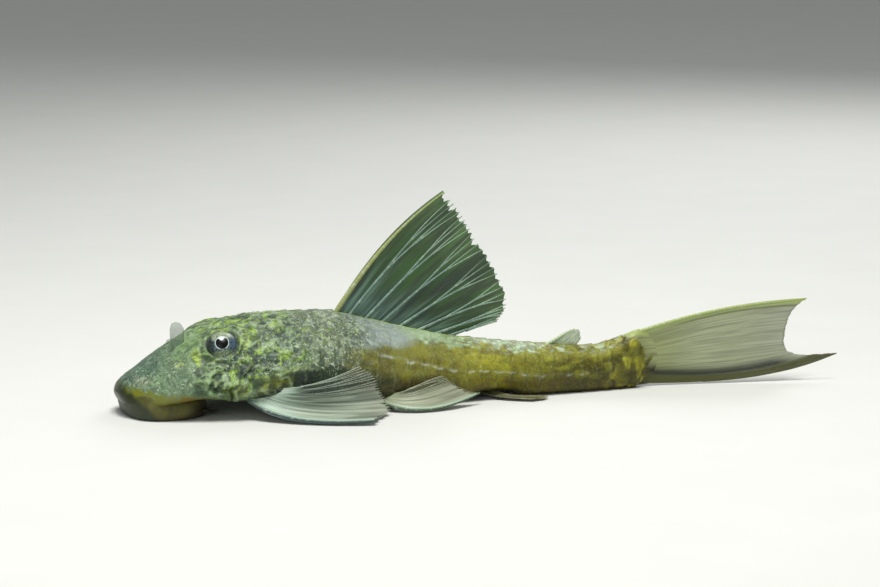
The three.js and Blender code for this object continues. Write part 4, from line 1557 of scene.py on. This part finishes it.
@dataclass
class Fin:
    """Fin of a leading spine and branching rays joined by a thin membrane."""

    name: str
    node: str
    root: Callable[[Array], Array]
    margin: Callable[[Array], Array]
    early: Bow
    late: Bow
    paint: FinPaint
    rays: int
    fork: float = 0.42
    second_fork: float = 0.72
    spread: float = 0.25
    notch: float = 0.05
    streaks: float = 0.5
    spine: float = 0.55
    ray: float = 0.27
    web: float = 0.16
    fold: float = 0.16
    columns: int = 20
    rows: int = 60
    sides: int = 8
    contrast: float = 1.0

    def surface(self, share: Array, reach: Array) -> Array:
        """Places on the fin's middle surface.

        Args:
            share: From 0 at the leading edge to 1 at the last ray.
            reach: From 0 at the root to 1 at the margin.

        Returns:
            One row of u, v and z for each place.
        """
        start, end = self.root(share), self.margin(share)
        second = start + (end - start) / 3 + bow(self.early, share)
        third = start + (end - start) * 2 / 3 + bow(self.late, share)
        r, q = reach[:, None], 1 - reach[:, None]
        return start * q**3 + second * 3 * q * q * r + third * 3 * q * r * r + end * r**3

    def frame(self, share: Array, reach: Array) -> tuple[Array, Array]:
        """Unit vectors across the fin and out of its surface.

        Args:
            share: From 0 at the leading edge to 1 at the last ray.
            reach: From 0 at the root to 1 at the margin.

        Returns:
            One row of each vector for each place.
        """
        step = 0.01
        across = self.surface(share + step, reach) - self.surface(share - step, reach)
        length = self.surface(share, reach + step) - self.surface(share, reach - step)
        normal = np.cross(across, length)
        normal /= np.linalg.norm(normal, axis=1)[:, None]
        across = np.cross(length, normal)
        across /= np.linalg.norm(across, axis=1)[:, None]
        return across, normal

    def width(self, reach: Array) -> Array:
        """Width of the fin from its leading edge to its last ray."""
        return np.linalg.norm(self.surface(reach * 0 + 1, reach) - self.surface(reach * 0, reach), axis=1)

    def sway(self, share: Array, reach: Array) -> Array:
        """Height of the membrane's soft folds between the rays.

        Args:
            share: From 0 at the leading edge to 1 at the last ray.
            reach: From 0 at the root to 1 at the margin.

        Returns:
            One height for each place.
        """
        swell = np.sin(share * self.rays * 2 * math.pi + 1.1 * np.sin(share * 9 + 1))
        swell = swell * np.sin(share * self.rays * math.pi) ** 2
        return self.fold * swell * ramp(0.05, 0.4, reach)

    def trim(self, share: Array) -> Array:
        """Reach of the membrane's ragged edge.

        Args:
            share: From 0 at the leading edge to 1 at the last ray.

        Returns:
            One reach for each share.
        """
        tip = 1 - np.abs(np.cos(math.pi * (4 * share * self.rays - 0.5)))
        ragged = noise(np.stack([share * self.rays * 5, share * 0, share * 0 + self.rays], axis=1), 1.0, 21)
        return 1 - self.notch * (0.4 * tip + 0.42 * (ragged + 1)) * ramp(0.0, 0.06, share)

    def colour(self, share: Array, reach: Array, on_ray: bool) -> Array:
        """Painted tone of the membrane or of the rays.

        Args:
            share: From 0 at the leading edge to 1 at the last ray.
            reach: From 0 at the root to 1 at the margin.
            on_ray: Whether the places lie on the rays.

        Returns:
            One colour for each place.
        """
        p = self.paint
        grid = np.stack([share * self.rays * 2.2, reach * 3.5, share * 0 + self.rays], axis=1)
        stain = noise(grid, 1.0, 22)
        width = self.width(reach)
        if on_ray:
            tone = evenly(p.ray, share)
            tone = blend(tone, p.ray_tip, ramp(0.55, 1.0, reach))
            tone = blend(tone, p.spine, ramp(1.3, 0.9, share * width))
            tone = blend(tone, p.stain_and_shade_colour, ramp(0.25, 0.7, stain) * p.stain * 0.5)
        else:
            tone = evenly(p.root, share)
            tone = blend(tone, p.web, ramp(0.08, 0.4, reach))
            tone = blend(tone, p.margin, ramp(0.6, 1.0, reach))
            tone = blend(tone, p.stain_and_shade_colour, ramp(-0.1, 0.6, stain) * p.stain)
            strips = np.stack([share * self.rays * 6.5, reach * 2.2, share * 0 + self.rays], axis=1)
            lines = noise(strips, 1.0, 23)
            # Painted shade: the membrane is darkened beside each ray, on its shadow side.
            shade_beside_rays = ramp(0.34, 0.16, np.abs((share * self.rays + 0.5) % 1 - 0.5))
            shade_beside_rays *= ramp(p.gap_end, p.gap_end - 0.3, reach) * ramp(p.gap_from, p.gap_from + 0.15, share)
            tone = blend(tone, p.stain_and_shade_colour, shade_beside_rays * p.stain)
            tone = blend(tone, p.ray, ramp(0.1, 0.5, lines) * ramp(0.6, 0.15, reach) * self.streaks)
            # Painted shade: where the membrane grows clearer it is darkened, standing in for the shade seen
            # through it.
            clear = ramp(p.clear_from, p.clear_from + 0.25, share) * ramp(0.15, 0.35, reach) * p.clear
            tone = blend(tone, p.stain_and_shade_colour, clear)
        start, last = share * width, (1 - share) * width
        if p.last_line is not None:
            line = bump(last, p.last_wide + 0.6, 1.15) * ramp(1.0, 0.8, reach)
            tone = blend(tone, p.last_line, line * 0.95)
        if p.last_edge is not None:
            tone = blend(tone, p.last_edge, ramp(p.last_wide + 0.3, p.last_wide - 0.2, last))
        # On the pectoral and pelvic fins these paint a highlight along the top of the spine and shade on its
        # underside.
        if p.first_line is not None:
            line = bump(start, p.first_wide + 0.28, 0.24) * ramp(0.12, 0.36, reach)
            tone = blend(tone, p.first_line, line * 0.85)
        if p.first_edge is not None:
            tone = blend(tone, p.first_edge, ramp(p.first_wide + 0.12, p.first_wide - 0.12, start))
        return tone

    def build_web(self, finish: Material) -> Piece:
        """Makes the membrane as one closed thin sheet.

        Args:
            finish: The membrane's material.

        Returns:
            The membrane.
        """
        web, across, length = add_grid(f"{self.name}_membrane", self.rays * self.columns * 2, self.rows)
        share = 1 - np.abs(1 - 2 * across)
        face = np.where(across < 0.5, 1.0, -1.0)
        reach = length * self.trim(share)
        _, normal = self.frame(share, reach)
        inside = np.minimum(1, share * 60) * np.minimum(1, (1 - share) * 60)
        inside = inside * np.minimum(1, (1 - length) * self.rows / 2)
        half = self.web / 2 * np.sqrt(np.clip(inside, 0, 1)) * (length > 0)
        middle = self.surface(share, reach) + normal * (self.sway(share, reach) + half * face)[:, None]
        place_points(web, lay(middle[:, 0], middle[:, 1], np.maximum(middle[:, 2], 0.02)))
        p = self.paint
        cover = p.cover_root + (p.cover_margin - p.cover_root) * ramp(0.05, 0.75, reach)
        clear = p.clear * ramp(p.clear_from, p.clear_from + 0.25, share) * ramp(0.12, 0.35, reach)
        cover = cover * (1 - clear)
        store(web, "web", np.stack([share, reach, cover], axis=1))
        store(web, "tone", self.colour(share, reach, False))
        close(web, 1e-6)
        mount(web, finish, Slot.FIN, self.node)
        return web

    def tracks(self) -> list[tuple[Array, Array, Array]]:
        """Centre lines of the spine and of each ray's trunk and branches.

        Returns:
            For each line its shares, its reaches and its radii.
        """
        draw = np.random.default_rng(SEED + self.rays)
        reach = np.linspace(0, 1, 60)
        width = self.width(reach)
        lead = np.minimum(self.spine * 0.9 / width, 0.4 / self.rays)
        lines = [(lead, reach, self.spine * (1 - 0.68 * reach**1.2))]
        for k in range(1, self.rays + 1):
            fork = self.fork + draw.uniform(-0.06, 0.06)
            second = self.second_fork + draw.uniform(-0.06, 0.06)
            end = 1.0 - draw.uniform(0.0, 0.015)
            centre = k / self.rays
            last = k == self.rays
            trunk = np.linspace(0, fork + 0.02, 34)
            inset = self.ray / np.interp(trunk, reach, width) * last
            lines.append((centre - inset, trunk, self.ray * (1 - 0.35 * trunk / fork)))
            for way in (-1, 1):
                out = np.linspace(fork - 0.02, second + 0.02, 22)
                first = self.offset(out, fork, way, last)
                thick = self.ray * 0.6 * (1 - 0.2 * (out - fork) / (second - fork))
                lines.append((centre + first, out, thick))
                for turn in (-1, 1):
                    tip = np.linspace(second - 0.02, end, 22)
                    part = self.offset(tip, fork, way, last)
                    parting = (np.clip(tip - second, 0, 1) / (1 - second)) ** 0.8
                    part = part + turn * 0.5 * self.spread * parting / self.rays
                    thin = self.ray * 0.46 * (1 - 0.4 * (tip - second) / (1 - second))
                    lines.append((np.minimum(centre + part, 1), tip, thin))
        return lines

    def offset(self, reach: Array, fork: float, way: int, last: bool) -> Array:
        """Share by which a branch has left its ray, all of it forwards on the last ray."""
        out = self.spread * (np.clip(reach - fork, 0, 1) / (1 - fork)) ** 0.8 / self.rays
        return out * (way - 1.2) if last else out * way

    def strand_map(self, start: float, wide: float, rows: int) -> Array:
        """Places on the bake map of one strand's faces, corner by corner.

        Args:
            start: Left border of the strand's own strip.
            wide: Width of the strip.
            rows: Number of rings of the strand.

        Returns:
            One row for each corner, for the side faces, then for both end fans.
        """
        j, side = np.meshgrid(np.arange(rows - 1), np.arange(self.sides), indexing="ij")
        left, right = start + wide * side / self.sides, start + wide * (side + 1) / self.sides
        low, high = 0.02 + 0.96 * j / (rows - 1), 0.02 + 0.96 * (j + 1) / (rows - 1)
        quads = np.stack([left, low, right, low, right, high, left, high], axis=-1).reshape(-1, 2)
        one = start + wide * np.arange(self.sides) / self.sides
        two = one + wide / self.sides
        first = np.stack([one, one * 0, two, one * 0 + 0.02, one, one * 0 + 0.02], axis=-1).reshape(-1, 2)
        last = np.stack([one, one * 0 + 1, one, one * 0 + 0.98, two, one * 0 + 0.98], axis=-1).reshape(-1, 2)
        return np.concatenate([quads, first, last])

    def build_rays(self, finish: Material) -> Piece:
        """Makes the spine and all rays as tapered closed strands in one mesh.

        Args:
            finish: The rays' material.

        Returns:
            The rays.
        """
        points, faces, tones, lengths, maps = [], [], [], [], []
        count = 0
        tracks = self.tracks()
        turn = np.arange(self.sides) / self.sides * 2 * math.pi
        for order, (share, reach, radius) in enumerate(tracks):
            across, normal = self.frame(share, reach)
            middle = self.surface(share, reach)
            rise = self.sway(share, reach)
            ring = middle[:, None] + (radius[:, None] * np.cos(turn))[..., None] * across[:, None]
            ring = ring + (rise[:, None] + radius[:, None] * 0.85 * np.sin(turn))[..., None] * normal[:, None]
            ends = [middle[:1] + rise[0] * normal[:1], middle[-1:] + rise[-1] * normal[-1:]]
            points.append(np.concatenate([ring.reshape(-1, 3), *ends]))
            number = len(share)
            base = count + np.arange(number - 1)[:, None] * self.sides
            one, two = np.arange(self.sides), (np.arange(self.sides) + 1) % self.sides
            after = base + self.sides
            quads = np.stack([base + one, base + two, after + two, after + one], axis=-1)
            faces.extend(quads.reshape(-1, 4).tolist())
            end = count + number * self.sides
            faces.extend([[end, count + b, count + a] for a, b in zip(one.tolist(), two.tolist())])
            tail = count + (number - 1) * self.sides
            faces.extend([[end + 1, tail + a, tail + b] for a, b in zip(one.tolist(), two.tolist())])
            maps.append(self.strand_map(order / len(tracks), 0.9 / len(tracks), number))
            count = end + 2
            walked = np.concatenate([[0], np.cumsum(np.linalg.norm(np.diff(middle, axis=0), axis=1))])
            width = self.width(reach)
            around = (share[:, None] + (radius / width)[:, None] * np.cos(turn)).ravel()
            shares = np.concatenate([around, share[:1], share[-1:]])
            reaches = np.concatenate([np.repeat(reach, self.sides), reach[:1], reach[-1:]])
            lengths.append(np.concatenate([np.repeat(walked, self.sides), walked[:1], walked[-1:]]))
            tones.append(self.colour(shares, reaches, True))
        places = np.concatenate(points)
        mesh = bpy.data.meshes.new(f"{self.name}_rays")
        mesh.from_pydata(lay(places[:, 0], places[:, 1], np.maximum(places[:, 2], 0.02)).tolist(), [], faces)
        rays = bpy.data.objects.new(mesh.name, mesh)
        bpy.context.scene.collection.objects.link(rays)
        store(rays, "tone", np.concatenate(tones))
        store(rays, "length", np.concatenate(lengths))
        corners = np.concatenate(maps).astype(np.float32).ravel()
        mesh.uv_layers.new(name=BAKE_MAP).data.foreach_set("uv", corners)
        edit(rays, face_outwards)
        bpy.ops.object.shade_smooth()
        mount(rays, finish, Slot.FIN)
        return rays

    def build(self, web: Material, ray: Material) -> list[Piece]:
        """Makes the membrane and the rays.

        Args:
            web: The membrane's material.
            ray: The rays' material.

        Returns:
            The pieces.
        """
        return [self.build_web(web), self.build_rays(ray)]


def on_side(side: Side, *corners: Corner, root: float = 0.0, spread: float = 1.0) -> tuple[Corner, ...]:
    """Corners moved to a side of the fish, with their distance from the root scaled by the spread."""
    return tuple((u, side.value * (root + (v - root) * spread), z) for u, v, z in corners)


def dorsal_fin() -> Fin:
    """Dorsal fin, raised and spread."""
    return Fin(
        "dorsal_fin", "dorsal_fin", along_back(37.2, 56.2, 1.6),
        path((57.4, 0, 35.8), (60.5, 0, 32.0), (63.0, 0, 27.7), (66.9, 0, 21.8), (68.9, 0, 15.6),
             (67.2, 0, 12.6)),
        ((-1.6, 0, 0.9), (0.2, 0, 0), (1.2, 0, 0.5)), ((-2.8, 0, 1.1), (0.3, 0, 0.5), (0.4, 0, 0.4)),
        FinPaint(root=srgb(74, 98, 92), web=srgb(48, 72, 38), margin=srgb(70, 94, 58),
                 ray=srgb(108, 136, 122), ray_tip=srgb(146, 172, 142), spine=srgb(150, 158, 98),
                 cover_root=0.97, cover_margin=0.9, stain=0.6, stain_and_shade_colour=srgb(24, 38, 34)),
        rays=7, fork=0.4, second_fork=0.66, spine=0.5, ray=0.36, rows=90, columns=18,
    )


def adipose_fin() -> Fin:
    """Adipose fin: one short spine with a little membrane behind it."""
    return Fin(
        "adipose_fin", "adipose_fin", along_back(74.4, 80.6, 1.1),
        path((80.6, 0, 10.7), (81.9, 0, 10.5), (82.2, 0, 8.9)),
        STRAIGHT, ((-0.3, 0, 0.3), (0.0, 0.0, 0.0), (0.0, 0.0, 0.0)),
        FinPaint(root=srgb(150, 170, 120), web=srgb(160, 176, 140), margin=srgb(168, 182, 150),
                 ray=srgb(160, 182, 140), ray_tip=srgb(190, 206, 180), spine=srgb(176, 196, 150),
                 cover_root=0.85, cover_margin=0.6, stain=0.1),
        rays=1, spine=0.42, ray=0.14, fork=0.8, second_fork=0.93, fold=0.0, rows=30, columns=24,
    )


def caudal_fin() -> Fin:
    """Tail fin, half closed, with its lower lobe the longer."""
    return Fin(
        "caudal_fin", "caudal_fin", path((92.6, 0, 10.0), (93.2, 0, 5.2), (92.6, 0, 0.5)),
        path((123.3, 0, 14.9), (120.6, 0, 12.4), (119.5, 0, 9.2), (119.6, 0, 5.9), (121.8, 0, 4.9),
             (129.3, 0, 4.9)),
        ((0, 0, 1.6), (0.0, 0.0, 0.0), (0, 0, -1.7)), ((0, 0, 1.4), (0.0, 0.0, 0.0), (0, 0, -3.6)),
        FinPaint(root=srgb(152, 158, 106), web=srgb(160, 166, 132), margin=srgb(166, 170, 146),
                 ray=srgb(152, 158, 124), ray_tip=srgb(172, 176, 152), spine=srgb(164, 178, 108),
                 first_edge=srgb(164, 178, 108), first_line=srgb(104, 114, 60), first_wide=0.95,
                 last_edge=srgb(74, 76, 30), last_line=srgb(18, 22, 8),
                 cover_root=0.94, cover_margin=0.8, stain=0.22, stain_and_shade_colour=srgb(80, 88, 62)),
        rays=14, fork=0.4, spine=0.36, ray=0.1, rows=80, columns=12, fold=0.05, notch=0.012, streaks=0.3,
        contrast=0.45,
    )


def anal_fin() -> Fin:
    """Anal fin, folded flat under the stem and showing as a strip beside it."""
    return Fin(
        "anal_fin", "anal_fin", path((61.6, -0.8, 1.8), (63.0, -0.6, 2.0), (64.4, -0.4, 2.1)),
        path((71.2, -9.6, 0.45), (73.8, -8.6, 0.45), (74.6, -7.0, 0.45)),
        ((-1.6, -2.6, -1.0), (-2.0, -3.8, -1.1), (-2.4, -4.8, -1.2)),
        ((-0.6, -1.6, -0.3), (-0.6, -1.4, -0.3), (-0.6, -1.6, -0.3)),
        FinPaint(root=srgb(70, 68, 34), web=srgb(92, 88, 52), margin=srgb(116, 112, 76),
                 ray=srgb(110, 104, 62), ray_tip=srgb(136, 130, 92), spine=srgb(60, 58, 32),
                 cover_root=0.95, cover_margin=0.85, stain=0.3),
        rays=4, spine=0.32, ray=0.2, rows=50, columns=16, fold=0.05, web=0.12,
    )


def pectoral_fin(side: Side, spread_out: float) -> Fin:
    """Pectoral fin, laid back along the flank with its spine on the floor side.

    Args:
        side: Side of the fish.
        spread_out: How far it is spread, 1 on the left.

    Returns:
        The fin.
    """
    lay_out = partial(on_side, side)
    tips = partial(on_side, side, root=12.0, spread=spread_out)
    return Fin(
        f"pectoral_fin_{side.word}", f"pectoral_fin_{side.word}",
        path(*lay_out((19.9, 11.6, 3.4), (22.6, 12.0, 4.4), (25.4, 12.3, 5.2))),
        path(*tips((39.8, 22.0, 0.75), (42.8, 17.2, 0.75), (44.6, 14.2, 1.0), (44.0, 12.9, 2.7),
                   (43.0, 12.4, 4.4), (42.2, 12.1, 6.4), (39.6, 12.2, 8.2))),
        lay_out((-2.9, 1.1, -3.1), (-1.0, 2.9, -1.5), (0, 3.2, -0.5)),
        lay_out((-1.2, 2.7, -1.2), (-0.4, 1.8, -0.8), (0, 1.6, -0.4)),
        FinPaint(root=srgb(160, 186, 168), web=srgb(160, 170, 152), margin=srgb(156, 160, 142),
                 ray=srgb(178, 190, 172), ray_tip=srgb(194, 198, 180), spine=srgb(150, 172, 146),
                 # first_line is a painted highlight along the top of the spine, first_edge painted shade on
                 # its underside.
                 first_edge=srgb(50, 70, 68), first_line=srgb(184, 210, 190),
                 cover_root=0.95, cover_margin=0.8, clear=0.7, clear_from=0.56,
                 gap_end=0.8, gap_from=0.14, stain=0.54, stain_and_shade_colour=srgb(52, 68, 58)),
        rays=7, fork=0.2, second_fork=0.45, spine=0.46, ray=0.15, rows=80, columns=18, fold=0.08,
        contrast=0.5,
    )


def pelvic_fin(side: Side, spread_out: float) -> Fin:
    """Pelvic fin, laid back along the belly's edge.

    Args:
        side: Side of the fish.
        spread_out: How far it is spread, 1 on the left.

    Returns:
        The fin.
    """
    lay_out = partial(on_side, side)
    tips = partial(on_side, side, root=8.0, spread=spread_out)
    return Fin(
        f"pelvic_fin_{side.word}", f"pelvic_fin_{side.word}",
        path(*lay_out((41.8, 8.2, 2.2), (43.4, 8.4, 2.3), (44.8, 8.7, 2.4))),
        path(*tips((62.0, 9.0, 1.9), (59.8, 9.4, 2.5), (57.1, 9.7, 3.9), (55.0, 9.9, 5.4))),
        lay_out((-1.2, 9.1, -2.9), (-0.6, 6.6, -1.4), (0, 4.2, 0.1)),
        lay_out((0, 5.3, -1.6), (0, 2.8, -0.6), (0, 0.4, 0.6)),
        FinPaint(root=srgb(142, 150, 118), web=srgb(156, 160, 136), margin=srgb(166, 168, 146),
                 ray=srgb(168, 172, 146), ray_tip=srgb(184, 188, 164), spine=srgb(170, 190, 164),
                 # first_line is a painted highlight along the top of the spine, first_edge painted shade on
                 # its underside.
                 first_edge=srgb(72, 92, 68), first_line=srgb(188, 212, 186),
                 cover_root=0.92, cover_margin=0.76, clear=0.7, clear_from=0.62,
                 stain=0.2, stain_and_shade_colour=srgb(92, 98, 62)),
        rays=5, fork=0.3, second_fork=0.6, spine=0.38, ray=0.11, rows=70, columns=16, fold=0.06, contrast=0.4,
    )


@dataclass(frozen=True)
class Lamp:
    """Square soft light that faces the fish."""

    name: str
    place: Corner
    size: float
    power: float
    tint: Colour

    def build(self, aim: Corner) -> None:
        """Adds the light.

        Args:
            aim: The place that it faces.
        """
        lamp = bpy.data.lights.new(self.name, "AREA")
        lamp.size = self.size
        lamp.energy = self.power
        lamp.color = self.tint
        holder = bpy.data.objects.new(self.name, lamp)
        bpy.context.scene.collection.objects.link(holder)
        holder.location = self.place
        ahead = Vector(aim) - Vector(self.place)
        holder.rotation_euler = ahead.to_track_quat("-Z", "Y").to_euler()


@dataclass
class Stage:
    """Floor, lights and camera."""

    lamps: tuple[Lamp, ...] = (
        Lamp("key", (-0.05, -0.1, 0.42), 0.2, 2.0, (1.0, 1.0, 0.97)),
        Lamp("fill", (-0.35, -0.45, 0.2), 0.3, 0.5, (0.95, 1.0, 1.0)),
        Lamp("rim", (0.25, 0.35, 0.3), 0.25, 0.8, (1.0, 1.0, 1.0)),
    )
    lamp_aim: Corner = (0.0, 0.0, 0.008)
    camera_azimuth: float = -14.5
    camera_elevation: float = 9.5
    camera_distance: float = 0.52
    camera_target: Corner = (0.002856, -0.000232, 0.017928)
    lens: float = 123.4
    sensor: float = 36.0
    floor_size: float = 6.0
    air: Colour = srgb(212, 216, 216)
    air_strength: float = 0.42

    def floor(self, finish: Material) -> Piece:
        """Makes the pale floor.

        Args:
            finish: Its material.

        Returns:
            The floor.
        """
        deselect()
        bpy.ops.mesh.primitive_plane_add(size=self.floor_size)
        floor = bpy.context.object
        floor.name = floor.data.name = "floor"
        edit(floor, partial(bpy.ops.mesh.subdivide, number_cuts=3))
        floor.data.materials.append(finish)
        return floor

    def camera(self) -> None:
        """Sets the camera at the photograph's viewing angle."""
        azimuth, elevation = math.radians(self.camera_azimuth), math.radians(self.camera_elevation)
        back = Vector((math.sin(azimuth) * math.cos(elevation), -math.cos(azimuth) * math.cos(elevation),
                       math.sin(elevation)))
        data = bpy.data.cameras.new("camera")
        data.lens, data.sensor_width = self.lens, self.sensor
        data.clip_start, data.clip_end = 0.01, 20.0
        camera = bpy.data.objects.new("camera", data)
        bpy.context.scene.collection.objects.link(camera)
        camera.location = Vector(self.camera_target) + back * self.camera_distance
        camera.rotation_euler = (-back).to_track_quat("-Z", "Y").to_euler()
        bpy.context.scene.camera = camera

    def build(self) -> None:
        """Sets floor, lights, air and camera."""
        self.camera()
        self.floor(FloorFinish().build())
        for lamp in self.lamps:
            lamp.build(self.lamp_aim)
        world = bpy.data.worlds.new("air")
        world.use_nodes = True
        world.node_tree.nodes["Background"].inputs[0].default_value = (*self.air, 1.0)
        world.node_tree.nodes["Background"].inputs[1].default_value = self.air_strength
        bpy.context.scene.world = world
        bpy.context.scene.view_settings.view_transform = "Standard"


def main() -> None:
    """Builds the stage and every piece of the fish."""
    logging.basicConfig(level=logging.INFO, format="%(name)s %(message)s")
    Stage().build()
    grains = granule_group()
    lip = LipFinish("lip_skin", srgb(96, 94, 44), srgb(40, 42, 20), painted=True).build()
    jaw = LipFinish("jaw_skin", srgb(150, 130, 96), srgb(96, 84, 56)).build()
    ray = RayFinish().build()
    Skin().build(SkinFinish().build(grains))
    MouthDisc().build(lip, jaw)
    for side in Side:
        Eye(side).build(EyeFinish().build())
        NoseFlap(side).build(WebFinish("nose_skin", 3.0, 0.2).build())
    fins = [dorsal_fin(), adipose_fin(), caudal_fin(), anal_fin()]
    for side, spread_out in ((Side.LEFT, 1.0), (Side.RIGHT, 0.94)):
        fins += [pectoral_fin(side, spread_out), pelvic_fin(side, spread_out)]
    for fin in fins:
        fin.build(WebFinish(f"{fin.name}_web", fin.rays * 6.0, fin.contrast).build(), ray)


if __name__ == "__main__":
    main()
